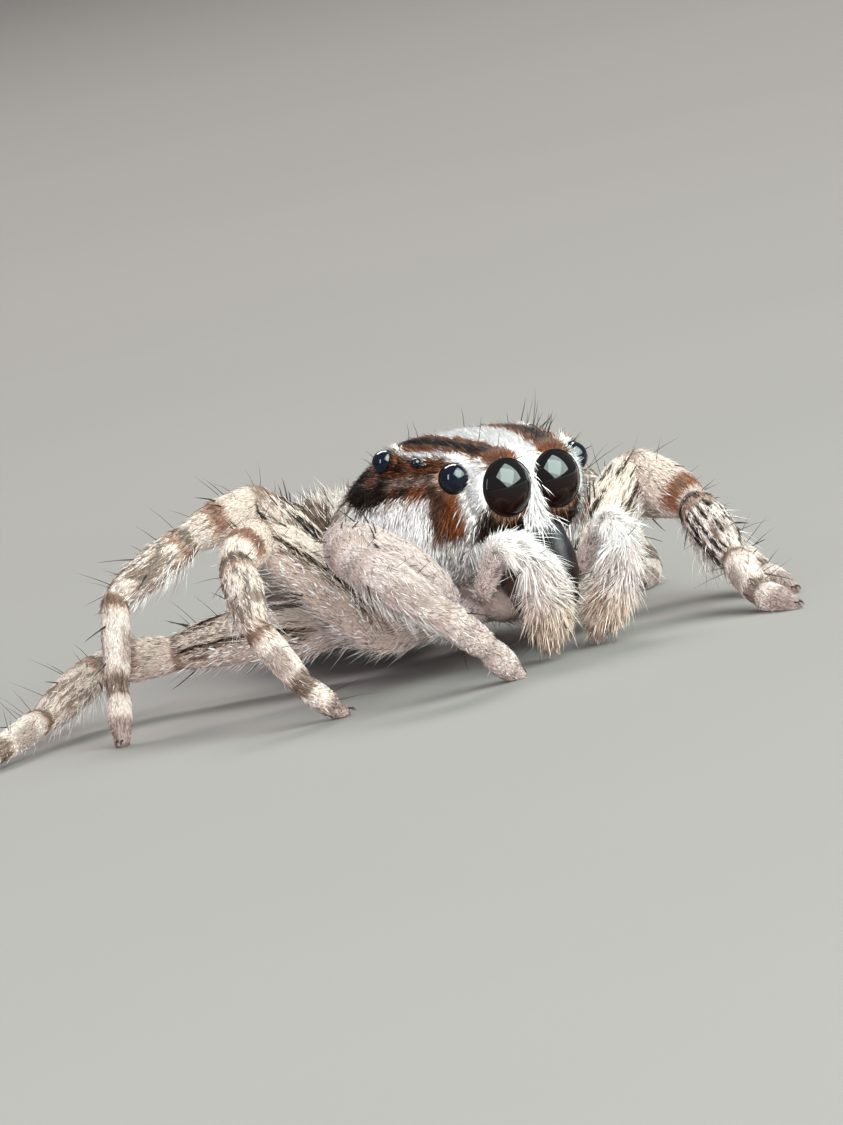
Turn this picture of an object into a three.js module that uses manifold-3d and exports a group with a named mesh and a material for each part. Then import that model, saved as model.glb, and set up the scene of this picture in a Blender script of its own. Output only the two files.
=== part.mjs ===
/**
 * A still, life-size model of a jumping spider, in millimetres, with +Z up and the floor at Z 0. It faces -Y,
 * and its left side is at +X. Head, chest and abdomen are set out in a body frame whose origin is midway
 * between the two big front eyes. The legs and palps are chains of lengths, each turned about the vertical
 * and lifted from the horizontal, and every leg ends on a small flat on the floor. The long hair of the palps,
 * face and legs is in tapered, bent locks rooted in their node, and the legs carry spines.
 */
import * as THREE from "three";
import { mergeVertices } from "three/addons/utils/BufferGeometryUtils.js";
import Module from "manifold-3d";

const wasm = await Module();
wasm.setup();

const { degToRad } = THREE.MathUtils;
const UP = new THREE.Vector3(0, 0, 1);

// ---- Clearances -------------------------------------------------------------------------------------------

const JOINT_GAP = 0.1; // between two lengths of one leg
const SOCKET_GAP = 0.08; // round a limb that is set in the chest
const SOCKET_SIDES = 8;
const EYE_GAP = 0.06; // round an eye in its socket
const EYE_SOCKET_SIDES = 0.6; // share of the eye's own sides

// ---- Body -------------------------------------------------------------------------------------------------

const EYE_HEIGHT = 2.0; // the body frame's origin above the floor
const BODY_ROLL = degToRad(4.5); // the left side is the lower one
const MIRROR = { right: -1, left: 1 };

// Head and chest, front to back: [y, half width, top, bottom, boxiness], boxiness 0 for an oval, 1 for a box.
const CARAPACE = [
  [-0.09, 0.3, 0.1, -0.3, 0.5],
  [-0.05, 0.58, 0.26, -0.42, 0.5],
  [0.04, 0.8, 0.4, -0.5, 0.5],
  [0.2, 0.98, 0.5, -0.6, 0.52],
  [0.5, 1.1, 0.59, -0.85, 0.52],
  [0.9, 1.19, 0.66, -1.1, 0.5],
  [1.3, 1.27, 0.69, -1.22, 0.42],
  [1.7, 1.34, 0.6, -1.26, 0.3],
  [2.1, 1.36, 0.38, -1.26, 0.2],
  [2.5, 1.28, 0.04, -1.22, 0.12],
  [2.9, 1.04, -0.36, -1.16, 0.08],
  [3.2, 0.66, -0.7, -1.06, 0.05],
  [3.3, 0.3, -0.82, -0.96, 0.0],
];
const CARAPACE_SIDES = 28;
const CARAPACE_RINGS = 19;
const WIDEST = 0.42; // how far up its height a body section is widest

// The plate between the hips and the two mouth plates: centre and half sizes.
const PLATE_SIDES = 10;
const CHEST_PLATES = [
  { centre: [0, 1.62, -1.3], half: [0.54, 1.25, 0.36] },
  { centre: [0.24, 0.52, -1.36], half: [0.22, 0.34, 0.22] },
  { centre: [-0.24, 0.52, -1.36], half: [0.22, 0.34, 0.22] },
];

// Eyes of the left side: centre of the ball, radius, and the radius of the mound that carries it.
const EYES = {
  front_middle: { centre: [0.355, 0, 0], radius: 0.33, mound: 0, sides: 16 },
  front_side: { centre: [0.88, 0.2, 0.19], radius: 0.178, mound: 0.21, sides: 12 },
  small: { centre: [1.03, 0.7, 0.42], radius: 0.065, mound: 0.1, sides: 8 },
  rear: { centre: [1.08, 1.25, 0.46], radius: 0.15, mound: 0.19, sides: 10 },
};
const MOUND_SET_BACK = 0.55; // a mound's centre is this share of its radius further in than the eye's

// Jaws of the left side, hanging under the face, with the fang folded behind.
const JAW = {
  root: [0.28, 0.12, -0.64],
  tip: [0.3, -0.06, -1.36],
  deep: 1.2,
  sides: 10,
  radii: [[0, 0.2], [0.3, 0.235], [0.7, 0.225], [1, 0.15]],
};
const FANG = { tip: [0.12, 0.1, -1.42], deep: 1, sides: 6, radii: [[0, 0.07], [0.6, 0.05], [1, 0.015]] };

// Abdomen, front to back from its waist: [y, half width, top, bottom, boxiness].
const ABDOMEN = [
  [0.0, 0.2, 0.12, -0.14, 0],
  [0.12, 0.5, 0.42, -0.34, 0],
  [0.5, 0.86, 0.74, -0.6, 0.05],
  [1.1, 1.08, 0.86, -0.78, 0.08],
  [1.8, 1.12, 0.86, -0.82, 0.08],
  [2.5, 0.98, 0.76, -0.72, 0.05],
  [3.1, 0.68, 0.52, -0.5, 0],
  [3.5, 0.36, 0.26, -0.28, 0],
  [3.66, 0.16, 0.1, -0.14, 0],
];
const ABDOMEN_SIDES = 22;
const ABDOMEN_RINGS = 14;
const WAIST = { front: [0, 3.1, -0.9], back: [0.12, 3.75, -0.86], radius: 0.15 };
const ABDOMEN_FRONT = [0, 3.46, -0.86];
const ABDOMEN_TURN = degToRad(-25); // swung to the spider's left
const SPINNERETS_START = 3.48; // along the abdomen
const SPINNERETS = [
  { root: [0.11, 3.4, -0.12], tip: [0.16, 3.98, -0.2], radius: 0.085 },
  { root: [0.11, 3.4, 0.06], tip: [0.17, 4.0, 0.08], radius: 0.075 },
];
const SPINNERET_BASE = { root: [0, 3.2, 0], tip: [0, 3.58, -0.02], radius: 0.24 };

// ---- Legs -------------------------------------------------------------------------------------------------

// Radius along each length of a leg, as [share of the length, radius], and how much deeper than wide it is.
const LIMB = {
  coxa: { deep: 1.1, sides: 8, radii: [[0, 0.2], [0.5, 0.24], [1, 0.25]] },
  femur: {
    deep: 1.35,
    sides: 9,
    bow: 0.08,
    radii: [[0, 0.22], [0.2, 0.29], [0.5, 0.3], [0.8, 0.26], [1, 0.22]],
  },
  patella: { deep: 1.08, sides: 8, radii: [[0, 0.24], [0.5, 0.28], [1, 0.24]] },
  tibia: { deep: 1.05, sides: 8, radii: [[0, 0.22], [0.35, 0.26], [0.75, 0.24], [1, 0.2]] },
  metatarsus: { deep: 1, sides: 8, radii: [[0, 0.2], [0.4, 0.21], [1, 0.18]] },
  tarsus: { deep: 1, sides: 8, radii: [[0, 0.18], [0.6, 0.18], [1, 0.13]] },
};
const LEG_ORDER = ["femur", "patella", "tibia", "metatarsus", "tarsus"];
const CAP_RINGS = 1; // rings in each round end
const SOLE = 0.05; // the last joint's height, which leaves a flat on the floor

// One entry a pair, front to back: the hip's root and end in the body frame, girth and lengths.
const LEG_PAIRS = {
  1: { root: [0.5, 0.75, -1.45], hip: [0.98, 0.55, -1.45], girth: 1.12, lengths: [1.85, 0.9, 1.25, 0.85, 0.6] },
  2: { root: [0.58, 1.3, -1.45], hip: [1.28, 1.5, -1.55], girth: 1.0, lengths: [2.05, 0.85, 1.2, 0.85, 0.6] },
  3: { root: [0.58, 1.86, -1.45], hip: [1.16, 2.08, -1.5], girth: 0.97, lengths: [2.0, 0.9, 1.25, 1.2, 0.65] },
  4: { root: [0.48, 2.42, -1.45], hip: [0.98, 2.68, -1.45], girth: 0.97, lengths: [2.1, 0.9, 1.4, 1.35, 0.7] },
};

// Turn of each length about the vertical, anticlockwise from +X, and lift of all but the last, in degrees.
const LEG_POSES = {
  right_1: { turn: [-174, -122, -74, 1, 20], lift: [43, -10, -33, -45] },
  right_2: { turn: [177, -149, -121, -54, -7], lift: [48, -9, -37, -60] },
  right_3: { turn: [113, 166, 170, -140, -140], lift: [59, -14, -22, -56] },
  right_4: { turn: [126, 138, -161, -152, -158], lift: [1, 2, -15, -6] },
  left_1: { turn: [11, -78, -108, -112, -92], lift: [42, -33, -31, -27] },
  left_2: { turn: [18, -60, -103, -108, -98], lift: [28, -14, -32, -15] },
  left_3: { turn: [44, 33, 16, -87, -139], lift: [36, 12, -29, -53] },
  left_4: { turn: [46, 50, 57, 59, 57], lift: [18, 7, -20, -22] },
};

// ---- Palps ------------------------------------------------------------------------------------------------

const PALP_ROOT = [0.7, 0.22, -1.17];
const PALP_LENGTHS = [0.95, 0.36, 0.42, 0.74];
const PALP = [
  { deep: 1.1, sides: 8, radii: [[0, 0.13], [0.5, 0.155], [1, 0.18]] },
  { deep: 1, sides: 8, radii: [[0, 0.2], [0.5, 0.22], [1, 0.21]] },
  { deep: 1, sides: 8, radii: [[0, 0.22], [0.5, 0.25], [1, 0.25]] },
  { deep: 1, sides: 8, radii: [[0, 0.25], [0.35, 0.27], [0.75, 0.23], [1, 0.12]] },
];
const PALP_POSES = {
  right: { turn: [-101, -52, -60, 70], lift: [37, -30, -72, -63] },
  left: { turn: [-86, -106, -172, 115], lift: [39, -34, -68, -55] },
};

// ---- Locks and spines -------------------------------------------------------------------------------------

// Outline of a blade from root to tip, as [share of its length, share of its width].
const LOCK_OUTLINE = [[0, 0], [0, 1], [0.55, 0.8], [1, 0]];
const SPINE_OUTLINE = [[0, 0], [0, 1], [0.5, 0.6], [1, 0]];
const BLADE_SIDES = 4;
const BLADE_ROOM = 0.04; // kept clear between a blade and any other node
const FLOOR_ROOM = 0.03;
const ROOT_DEPTH = 0.7; // a blade starts at this share of the radius that it grows from
const UNEVEN = 0.25; // how far a blade's length and angle stray, as a share

// A blade: how far it leans along the limb for each part outward, its size, and its droop as a share of length.
const LEG_LOCK = { lean: 1, length: 0.34, width: 0.23, thick: 0.07, droop: 0.2 };
const LEG_SPINE = { lean: 0.6, length: 0.33, width: 0.06, thick: 0.06, droop: 0 };
const PALP_LOCK = { lean: 1.8, length: 0.42, width: 0.29, thick: 0.08, droop: 0.1 };

// Blades in rows: on which length of the limb, at what shares of it, and at what angles from its top.
const LEG_LOCKS = [
  { on: 0, shares: [0.2, 0.5, 0.8], angles: [180], ...LEG_LOCK },
  { on: 2, shares: [0.3, 0.7], angles: [180], ...LEG_LOCK },
];
const LEG_SPINES = [
  { on: 1, shares: [0.55], angles: [15], ...LEG_SPINE },
  { on: 2, shares: [0.55], angles: [-75, 80], ...LEG_SPINE },
  { on: 3, shares: [0.45], angles: [-90], ...LEG_SPINE },
];
const PALP_LOCKS = [
  { on: 1, shares: [0.5], angles: [-50, 50], ...PALP_LOCK, length: 0.36 },
  { on: 2, shares: [0.2], angles: [-120, -60, 0, 60, 120], ...PALP_LOCK },
  { on: 3, shares: [0.05], angles: [-144, -72, 0, 72, 144], ...PALP_LOCK },
  { on: 3, shares: [0.5], angles: [-108, -36, 36, 108, 180], ...PALP_LOCK, lean: 2.6, droop: 0 },
];

// Locks of the face's left side in the body frame: the beard over the jaws and the hanging hair of the cheek.
const FACE_LOCKS = [
  { root: [0.08, 0.02, -0.36], lean: [0.1, -0.75, -0.65], length: 0.42, width: 0.2 },
  { root: [0.3, 0.02, -0.4], lean: [0.15, -0.7, -0.7], length: 0.4, width: 0.2 },
  { root: [0.52, 0.04, -0.4], lean: [0.3, -0.65, -0.7], length: 0.36, width: 0.2 },
  { root: [0.76, 0.14, -0.38], lean: [0.5, -0.45, -0.75], length: 0.34, width: 0.2 },
  { root: [0.94, 0.36, -0.45], lean: [0.55, -0.2, -0.8], length: 0.34, width: 0.22 },
  { root: [1.04, 0.62, -0.42], lean: [0.5, -0.12, -0.85], length: 0.36, width: 0.24 },
  { root: [1.1, 0.92, -0.4], lean: [0.45, -0.08, -0.88], length: 0.36, width: 0.24 },
  { root: [1.15, 1.24, -0.36], lean: [0.45, 0, -0.88], length: 0.34, width: 0.24 },
];
// Bristles that stand on the left side of the head's top, in the body frame.
const HEAD_BRISTLES = [
  { root: [0.28, 0.3, 0.44], lean: [0.08, -0.5, 0.85] },
  { root: [0.62, 0.66, 0.52], lean: [0.15, -0.35, 0.92] },
  { root: [0.26, 0.98, 0.58], lean: [0.05, -0.25, 0.96] },
  { root: [0.86, 1.0, 0.54], lean: [0.3, -0.2, 0.92] },
  { root: [0.56, 1.4, 0.58], lean: [0.12, 0.05, 0.98] },
];
const HEAD_BRISTLE = { length: 0.5, width: 0.06, thick: 0.06, droop: 0 };
const FACE_LOCK_THICK = 0.07;
const FACE_LOCK_DROOP = 0.25;

// ---- Materials --------------------------------------------------------------------------------------------

const FINISHES = {
  head: { color: 0xb9a79a, roughness: 0.85 },
  abdomen: { color: 0xc6bcba, roughness: 0.9 },
  leg: { color: 0xc9b8a6, roughness: 0.85 },
  palp: { color: 0xe2d2bf, roughness: 0.85 },
  jaw: { color: 0x1b1a20, roughness: 0.3 },
  eye: { color: 0x060606, roughness: 0.05 },
};

// ---- Solids -----------------------------------------------------------------------------------------------

/** The closed solid of a geometry, facing out. */
function solid(geometry) {
  const bare = new THREE.BufferGeometry();
  bare.setAttribute("position", geometry.getAttribute("position"));
  bare.setIndex(geometry.index);
  const merged = mergeVertices(bare, 1e-5);
  const triVerts = new Uint32Array(merged.index.array);
  const vertProperties = merged.getAttribute("position").array;
  const made = new wasm.Manifold(new wasm.Mesh({ numProp: 3, vertProperties, triVerts }));
  if (made.volume() > 0) return made;
  return new wasm.Manifold(new wasm.Mesh({ numProp: 3, vertProperties, triVerts: triVerts.reverse() }));
}

function join(solids) {
  return solids.reduce((sum, next) => sum.add(next));
}

function cut(from, tools) {
  return tools.reduce((rest, tool) => rest.subtract(tool), from);
}

/** The largest closed surface of a solid, with any sealed hollow filled and loose scraps dropped. */
function largest(whole) {
  return whole.decompose().reduce((best, next) => (next.volume() > best.volume() ? next : best));
}

/** A body loft along +Y through table rows, smoothed, its sections rounded boxes that are widest low down. */
function bodyLoft(rows, sides, rings) {
  const columns = rows[0].length - 1;
  const curve = new THREE.CubicInterpolant(
    rows.map(([y]) => y),
    rows.flatMap(([, ...values]) => values),
    columns,
  );
  const front = rows[0][0];
  const length = rows[rows.length - 1][0] - front;
  // Rings lie closer together at both ends, where the form turns in.
  const stations = Array.from({ length: rings }, (_, i) => (1 - Math.cos((Math.PI * i) / (rings - 1))) / 2);
  const profile = [
    new THREE.Vector2(0, -1),
    ...stations.map((_, i) => new THREE.Vector2(1, i)),
    new THREE.Vector2(0, rings),
  ];
  const loft = new THREE.LatheGeometry(profile, sides);
  const points = loft.getAttribute("position");
  for (let i = 0; i < points.count; i++) {
    const ring = THREE.MathUtils.clamp(Math.round(points.getY(i)), 0, rings - 1);
    const onAxis = Math.hypot(points.getX(i), points.getZ(i)) < 0.5;
    const y = front + length * stations[ring];
    const [halfWidth, top, bottom, boxy] = curve.evaluate(y);
    const angle = Math.atan2(points.getZ(i), points.getX(i));
    const power = 1 - boxy;
    const across = Math.sign(Math.cos(angle)) * Math.abs(Math.cos(angle)) ** power;
    const up = Math.sign(Math.sin(angle)) * Math.abs(Math.sin(angle)) ** power;
    const waist = bottom + WIDEST * (top - bottom);
    const z = waist + up * (up > 0 ? top - waist : waist - bottom);
    points.setXYZ(i, onAxis ? 0 : halfWidth * across, y, onAxis ? waist : z);
  }
  return loft;
}

/**
 * One length of a limb from joint to joint, oval, with round ends that overlap the next length's. Grown, it
 * is the tool that cuts the length's socket.
 */
function limbLength(start, end, form, girth = 1, grow = 0) {
  const along = end.clone().sub(start);
  const length = along.length();
  const radii = form.radii.map(([share, radius]) => [share * length, radius * girth + grow]);
  const first = radii[0][1];
  const last = radii[radii.length - 1][1];
  const profile = [new THREE.Vector2(0, -first)];
  for (let i = 1; i <= CAP_RINGS; i++) {
    const angle = (Math.PI / 2) * (i / (CAP_RINGS + 1));
    profile.push(new THREE.Vector2(first * Math.sin(angle), -first * Math.cos(angle)));
  }
  radii.forEach(([y, radius]) => profile.push(new THREE.Vector2(radius, y)));
  for (let i = CAP_RINGS; i >= 1; i--) {
    const angle = (Math.PI / 2) * (i / (CAP_RINGS + 1));
    profile.push(new THREE.Vector2(last * Math.sin(angle), length + last * Math.cos(angle)));
  }
  profile.push(new THREE.Vector2(0, length + last));
  const tube = new THREE.LatheGeometry(profile, grow > 0 ? SOCKET_SIDES : form.sides);
  const points = tube.getAttribute("position");
  for (let i = 0; i < points.count; i++) {
    const share = THREE.MathUtils.clamp(points.getY(i) / length, 0, 1);
    const bow = (form.bow ?? 0) * 4 * share * (1 - share);
    points.setZ(i, points.getZ(i) * form.deep + bow);
  }
  const direction = along.normalize();
  const side = direction.clone().cross(UP).normalize();
  const back = side.clone().cross(direction);
  const basis = new THREE.Matrix4().makeBasis(side, direction, back).setPosition(start);
  return solid(tube.applyMatrix4(basis));
}

/** The joints of a limb, from its start through each turned and lifted length. */
function chain(start, lengths, turn, lift) {
  const joints = [start];
  lengths.forEach((length, i) => {
    const from = joints[joints.length - 1];
    const drop = THREE.MathUtils.clamp((SOLE - from.z) / length, -1, 1);
    const rise = i < lift.length ? degToRad(lift[i]) : Math.asin(drop);
    const heading = degToRad(turn[i]);
    const step = new THREE.Vector3(
      Math.cos(rise) * Math.cos(heading),
      Math.cos(rise) * Math.sin(heading),
      Math.sin(rise),
    );
    joints.push(from.clone().addScaledVector(step, length));
  });
  return joints;
}

/**
 * A closed, flat, tapered blade from its root, leaning one way and drooping towards its tip. Its flat side
 * faces out. With room it is the space that no other node may enter.
 */
function blade(root, lean, out, outline, { length, width, thick, droop }, room = 0) {
  const profile = outline.map(([share, size]) => new THREE.Vector2(size, share));
  const shape = new THREE.LatheGeometry(profile, BLADE_SIDES);
  const points = shape.getAttribute("position");
  const direction = lean.clone().normalize();
  const across = direction.clone().cross(out).normalize();
  const face = across.clone().cross(direction);
  const at = new THREE.Vector3();
  for (let i = 0; i < points.count; i++) {
    const share = points.getY(i);
    at.copy(root)
      .addScaledVector(across, points.getX(i) * (width / 2 + room))
      .addScaledVector(face, -points.getZ(i) * (thick / 2 + room))
      .addScaledVector(direction, share * (length + room))
      .addScaledVector(UP, -droop * length * share * share);
    points.setXYZ(i, at.x, at.y, at.z);
  }
  return solid(shape);
}

/** A blade's solid and the room round it. */
function withRoom(...shape) {
  return { real: blade(...shape), room: blade(...shape, BLADE_ROOM) };
}

const { seededRandom } = THREE.MathUtils;

/** A factor near one, for a length or an angle that strays. */
function stray() {
  return 1 + UNEVEN * (seededRandom() - 0.5);
}

/** The blades of one row set round one length of a limb, leaning from its outward side towards its tip. */
function limbBlades(joints, forms, girth, row, outline) {
  const form = forms[row.on];
  const start = joints[row.on];
  const direction = joints[row.on + 1].clone().sub(start).normalize();
  const length = start.distanceTo(joints[row.on + 1]);
  const side = direction.clone().cross(UP).normalize();
  const up = side.clone().cross(direction);
  const radius = (share) => {
    const next = Math.max(1, form.radii.findIndex(([at]) => at >= share));
    const [[from, low], [to, high]] = [form.radii[next - 1], form.radii[next]];
    return girth * THREE.MathUtils.mapLinear(share, from, to, low, high);
  };
  return row.shares.flatMap((share) =>
    row.angles.map((angle) => {
      const round = degToRad(angle * stray());
      const out = side.clone().multiplyScalar(Math.sin(round)).addScaledVector(up, Math.cos(round) * form.deep);
      const bow = (form.bow ?? 0) * 4 * share * (1 - share);
      const root = start
        .clone()
        .addScaledVector(direction, share * length)
        .addScaledVector(up, bow)
        .addScaledVector(out, radius(share) * ROOT_DEPTH);
      const lean = out.clone().normalize().addScaledVector(direction, row.lean);
      return withRoom(root, lean, out, outline, { ...row, length: row.length * stray() });
    }),
  );
}

const BLOCK = 1.8; // a trimming block, larger than any joint

/** A block over one side of a joint's bisecting plane and half the gap: sense 1 beyond it, -1 before it. */
function trimmingBlock(joints, at, sense) {
  const before = joints[at].clone().sub(joints[at - 1]).normalize();
  const after = joints[at + 1].clone().sub(joints[at]).normalize();
  const normal = before.add(after).normalize().multiplyScalar(sense);
  const turn = new THREE.Quaternion().setFromUnitVectors(UP, normal);
  const centre = joints[at].clone().addScaledVector(normal, (BLOCK - JOINT_GAP) / 2);
  const block = new THREE.BoxGeometry(BLOCK, BLOCK, BLOCK);
  return solid(block.applyMatrix4(new THREE.Matrix4().compose(centre, turn, new THREE.Vector3(1, 1, 1))));
}

// ---- Body pieces ------------------------------------------------------------------------------------------

const bodyFrame = new THREE.Matrix4().makeRotationY(BODY_ROLL).setPosition(0, 0, EYE_HEIGHT);
const abdomenFrame = new THREE.Matrix4()
  .makeRotationZ(ABDOMEN_TURN)
  .setPosition(...ABDOMEN_FRONT)
  .premultiply(bodyFrame);

function inFrame(frame, [x, y, z], mirror = 1) {
  return new THREE.Vector3(x * mirror, y, z).applyMatrix4(frame);
}

function ball(centre, radii, sides, frame = bodyFrame) {
  const sphere = new THREE.SphereGeometry(1, sides, Math.round(sides * 0.7));
  const place = new THREE.Matrix4().makeScale(...radii).setPosition(...centre);
  return solid(sphere.applyMatrix4(place).applyMatrix4(frame));
}

function eyeBall(name, mirror, grow = 0) {
  const { centre, radius, sides } = EYES[name];
  const size = radius + grow;
  const around = grow > 0 ? Math.round(sides * EYE_SOCKET_SIDES) : sides;
  return ball([centre[0] * mirror, centre[1], centre[2]], [size, size, size], around);
}

/** The mound under an eye, set a little further into the head than the ball. */
function eyeMound(name, mirror) {
  const { centre, mound, sides } = EYES[name];
  const inward = mound * MOUND_SET_BACK;
  const place = [(centre[0] - inward) * mirror, centre[1] + inward * 0.3, centre[2] - inward * 0.3];
  return ball(place, [mound, mound, mound], Math.round(sides * 0.8));
}

function jaw(mirror) {
  const root = inFrame(bodyFrame, JAW.root, mirror);
  const tip = inFrame(bodyFrame, JAW.tip, mirror);
  const fangTip = inFrame(bodyFrame, FANG.tip, mirror);
  return {
    whole: join([limbLength(root, tip, JAW), limbLength(tip, fangTip, FANG)]),
    socket: limbLength(root, tip, JAW, 1, SOCKET_GAP),
  };
}

function waist(grow = 0) {
  const { front, back, radius } = WAIST;
  const form = { deep: 1, sides: 12, radii: [[0, radius], [1, radius]] };
  return limbLength(inFrame(bodyFrame, front), inFrame(bodyFrame, back), form, 1, grow);
}

/** A block over all that lies behind (sense 1) or in front (sense -1) of the spinnerets' start. */
function abdomenBlock(sense) {
  const block = new THREE.BoxGeometry(BLOCK, BLOCK, BLOCK);
  const middle = SPINNERETS_START + (sense * (BLOCK - JOINT_GAP)) / 2;
  return solid(block.translate(0, middle, 0).applyMatrix4(abdomenFrame));
}

function abdomen() {
  const egg = solid(bodyLoft(ABDOMEN, ABDOMEN_SIDES, ABDOMEN_RINGS).applyMatrix4(abdomenFrame));
  return cut(join([egg, waist()]), [abdomenBlock(1)]);
}

function spinnerets() {
  const finger = ({ root, tip, radius }, mirror) => {
    const form = { deep: 1, sides: 6, radii: [[0, radius], [0.7, radius], [1, radius * 0.6]] };
    return limbLength(inFrame(abdomenFrame, root, mirror), inFrame(abdomenFrame, tip, mirror), form);
  };
  const fingers = SPINNERETS.flatMap((one) => [finger(one, 1), finger(one, -1)]);
  return cut(join([finger(SPINNERET_BASE, 1), ...fingers]), [abdomenBlock(-1)]);
}

// ---- Limbs ------------------------------------------------------------------------------------------------

function leg(name) {
  const [side, pair] = name.split("_");
  const { root, hip, girth, lengths } = LEG_PAIRS[pair];
  const { turn, lift } = LEG_POSES[name];
  const start = inFrame(bodyFrame, root, MIRROR[side]);
  const joints = chain(inFrame(bodyFrame, hip, MIRROR[side]), lengths, turn, lift);
  const coxa = (grow) => limbLength(start, joints[0], LIMB.coxa, 1, grow);
  const length = (i, grow) => limbLength(joints[i], joints[i + 1], LIMB[LEG_ORDER[i]], girth, grow);
  const forms = LEG_ORDER.map((part) => LIMB[part]);
  const rows = (table, outline, first, last) =>
    table
      .filter(({ on }) => on >= first && on <= last)
      .flatMap((row) => limbBlades(joints, forms, girth, row, outline));
  const knee = (sense) => trimmingBlock(joints, 1, sense);
  const ankle = (sense) => trimmingBlock(joints, 3, sense);
  return {
    femur: cut(join([coxa(0), length(0, 0)]), [knee(1)]),
    tibia: cut(join([length(1, 0), length(2, 0)]), [knee(-1), ankle(1)]),
    foot: cut(join([length(3, 0), length(4, 0)]), [ankle(-1), floorBlock()]),
    socket: join([coxa(SOCKET_GAP), length(0, SOCKET_GAP)]),
    femurBlades: rows(LEG_LOCKS, LOCK_OUTLINE, 0, 0),
    tibiaBlades: [...rows(LEG_LOCKS, LOCK_OUTLINE, 1, 2), ...rows(LEG_SPINES, SPINE_OUTLINE, 1, 2)],
    footBlades: rows(LEG_SPINES, SPINE_OUTLINE, 3, 4),
  };
}

const FLOOR = 30; // side of the block that stands for the floor

function floorBlock() {
  return solid(new THREE.BoxGeometry(FLOOR, FLOOR, FLOOR).translate(0, 0, -FLOOR / 2));
}

function palp(side) {
  const { turn, lift } = PALP_POSES[side];
  const joints = chain(inFrame(bodyFrame, PALP_ROOT, MIRROR[side]), PALP_LENGTHS, turn, lift);
  return {
    whole: join(PALP.map((form, i) => limbLength(joints[i], joints[i + 1], form))),
    socket: limbLength(joints[0], joints[1], PALP[0], 1, SOCKET_GAP),
    blades: PALP_LOCKS.flatMap((row) => limbBlades(joints, PALP, 1, row, LOCK_OUTLINE)),
  };
}

/** The beard and cheek locks of both sides. */
function faceLocks() {
  const form = { thick: FACE_LOCK_THICK, droop: FACE_LOCK_DROOP };
  return Object.values(MIRROR).flatMap((mirror) =>
    FACE_LOCKS.map(({ root, lean, length, width }) => {
      const from = inFrame(bodyFrame, root, mirror);
      const towards = inFrame(bodyFrame, root.map((at, i) => at + lean[i]), mirror).sub(from);
      const out = towards.clone().setZ(0);
      return withRoom(from, towards, out, LOCK_OUTLINE, { ...form, width, length: length * stray() });
    }),
  );
}

/** The bristles on the head's top, of both sides. */
function headBristles() {
  return Object.values(MIRROR).flatMap((mirror) =>
    HEAD_BRISTLES.map(({ root, lean }) => {
      const from = inFrame(bodyFrame, root, mirror);
      const towards = inFrame(bodyFrame, root.map((at, i) => at + lean[i]), mirror).sub(from);
      const front = new THREE.Vector3(0, -1, 0);
      const length = HEAD_BRISTLE.length * stray();
      return withRoom(from, towards, front, SPINE_OUTLINE, { ...HEAD_BRISTLE, length });
    }),
  );
}

// ---- The model --------------------------------------------------------------------------------------------

const model = new THREE.Group();
const stance = new THREE.Group();
model.add(stance);

/** Adds a solid as a named mesh, its geometry centred on the mesh's own origin. */
function addPiece(name, piece, finish) {
  const { vertProperties, triVerts, numProp } = largest(piece).getMesh();
  if (numProp !== 3) throw new Error("a piece holds positions only");
  const geometry = new THREE.BufferGeometry();
  geometry.setAttribute("position", new THREE.BufferAttribute(vertProperties, 3));
  geometry.setIndex(new THREE.BufferAttribute(triVerts, 1));
  geometry.computeBoundingBox();
  const centre = geometry.boundingBox.getCenter(new THREE.Vector3());
  geometry.translate(-centre.x, -centre.y, -centre.z);
  geometry.computeVertexNormals();
  const mesh = new THREE.Mesh(geometry, new THREE.MeshStandardMaterial({ metalness: 0, ...FINISHES[finish] }));
  mesh.name = name;
  mesh.position.copy(centre);
  stance.add(mesh);
}

const pieces = new Map(); // name to its core solid, finish, and the blades that may grow from it
const sockets = [waist(SOCKET_GAP)];

for (const name of Object.keys(LEG_POSES)) {
  const { femur, tibia, foot, socket, femurBlades, tibiaBlades, footBlades } = leg(name);
  pieces.set(`leg_${name}_femur`, { core: femur, finish: "leg", blades: femurBlades });
  pieces.set(`leg_${name}_tibia`, { core: tibia, finish: "leg", blades: tibiaBlades });
  pieces.set(`leg_${name}_foot`, { core: foot, finish: "leg", blades: footBlades });
  sockets.push(socket);
}

for (const [side, mirror] of Object.entries(MIRROR)) {
  const { whole: wholePalp, socket: palpSocket, blades } = palp(side);
  const { whole: wholeJaw, socket: jawSocket } = jaw(mirror);
  pieces.set(`palp_${side}`, { core: wholePalp, finish: "palp", blades });
  pieces.set(`jaw_${side}`, { core: wholeJaw, finish: "jaw", blades: [] });
  sockets.push(palpSocket, jawSocket);
  for (const name of Object.keys(EYES)) {
    pieces.set(`eye_${name}_${side}`, { core: eyeBall(name, mirror), finish: "eye", blades: [] });
    sockets.push(eyeBall(name, mirror, EYE_GAP));
  }
}

const mounds = Object.keys(EYES)
  .filter((name) => EYES[name].mound > 0)
  .flatMap((name) => [eyeMound(name, 1), eyeMound(name, -1)]);
const shell = solid(bodyLoft(CARAPACE, CARAPACE_SIDES, CARAPACE_RINGS).applyMatrix4(bodyFrame));
const plates = CHEST_PLATES.map(({ centre, half }) => ball(centre, half, PLATE_SIDES));
const chest = cut(join([shell, ...mounds, ...plates]), sockets);
pieces.set("cephalothorax", { core: chest, finish: "head", blades: [...faceLocks(), ...headBristles()] });
pieces.set("abdomen", { core: abdomen(), finish: "abdomen", blades: [] });
pieces.set("spinnerets", { core: spinnerets(), finish: "abdomen", blades: [] });

/** Whether two solids share any space. */
function meet(a, b) {
  return !a.intersect(b).isEmpty();
}

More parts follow.
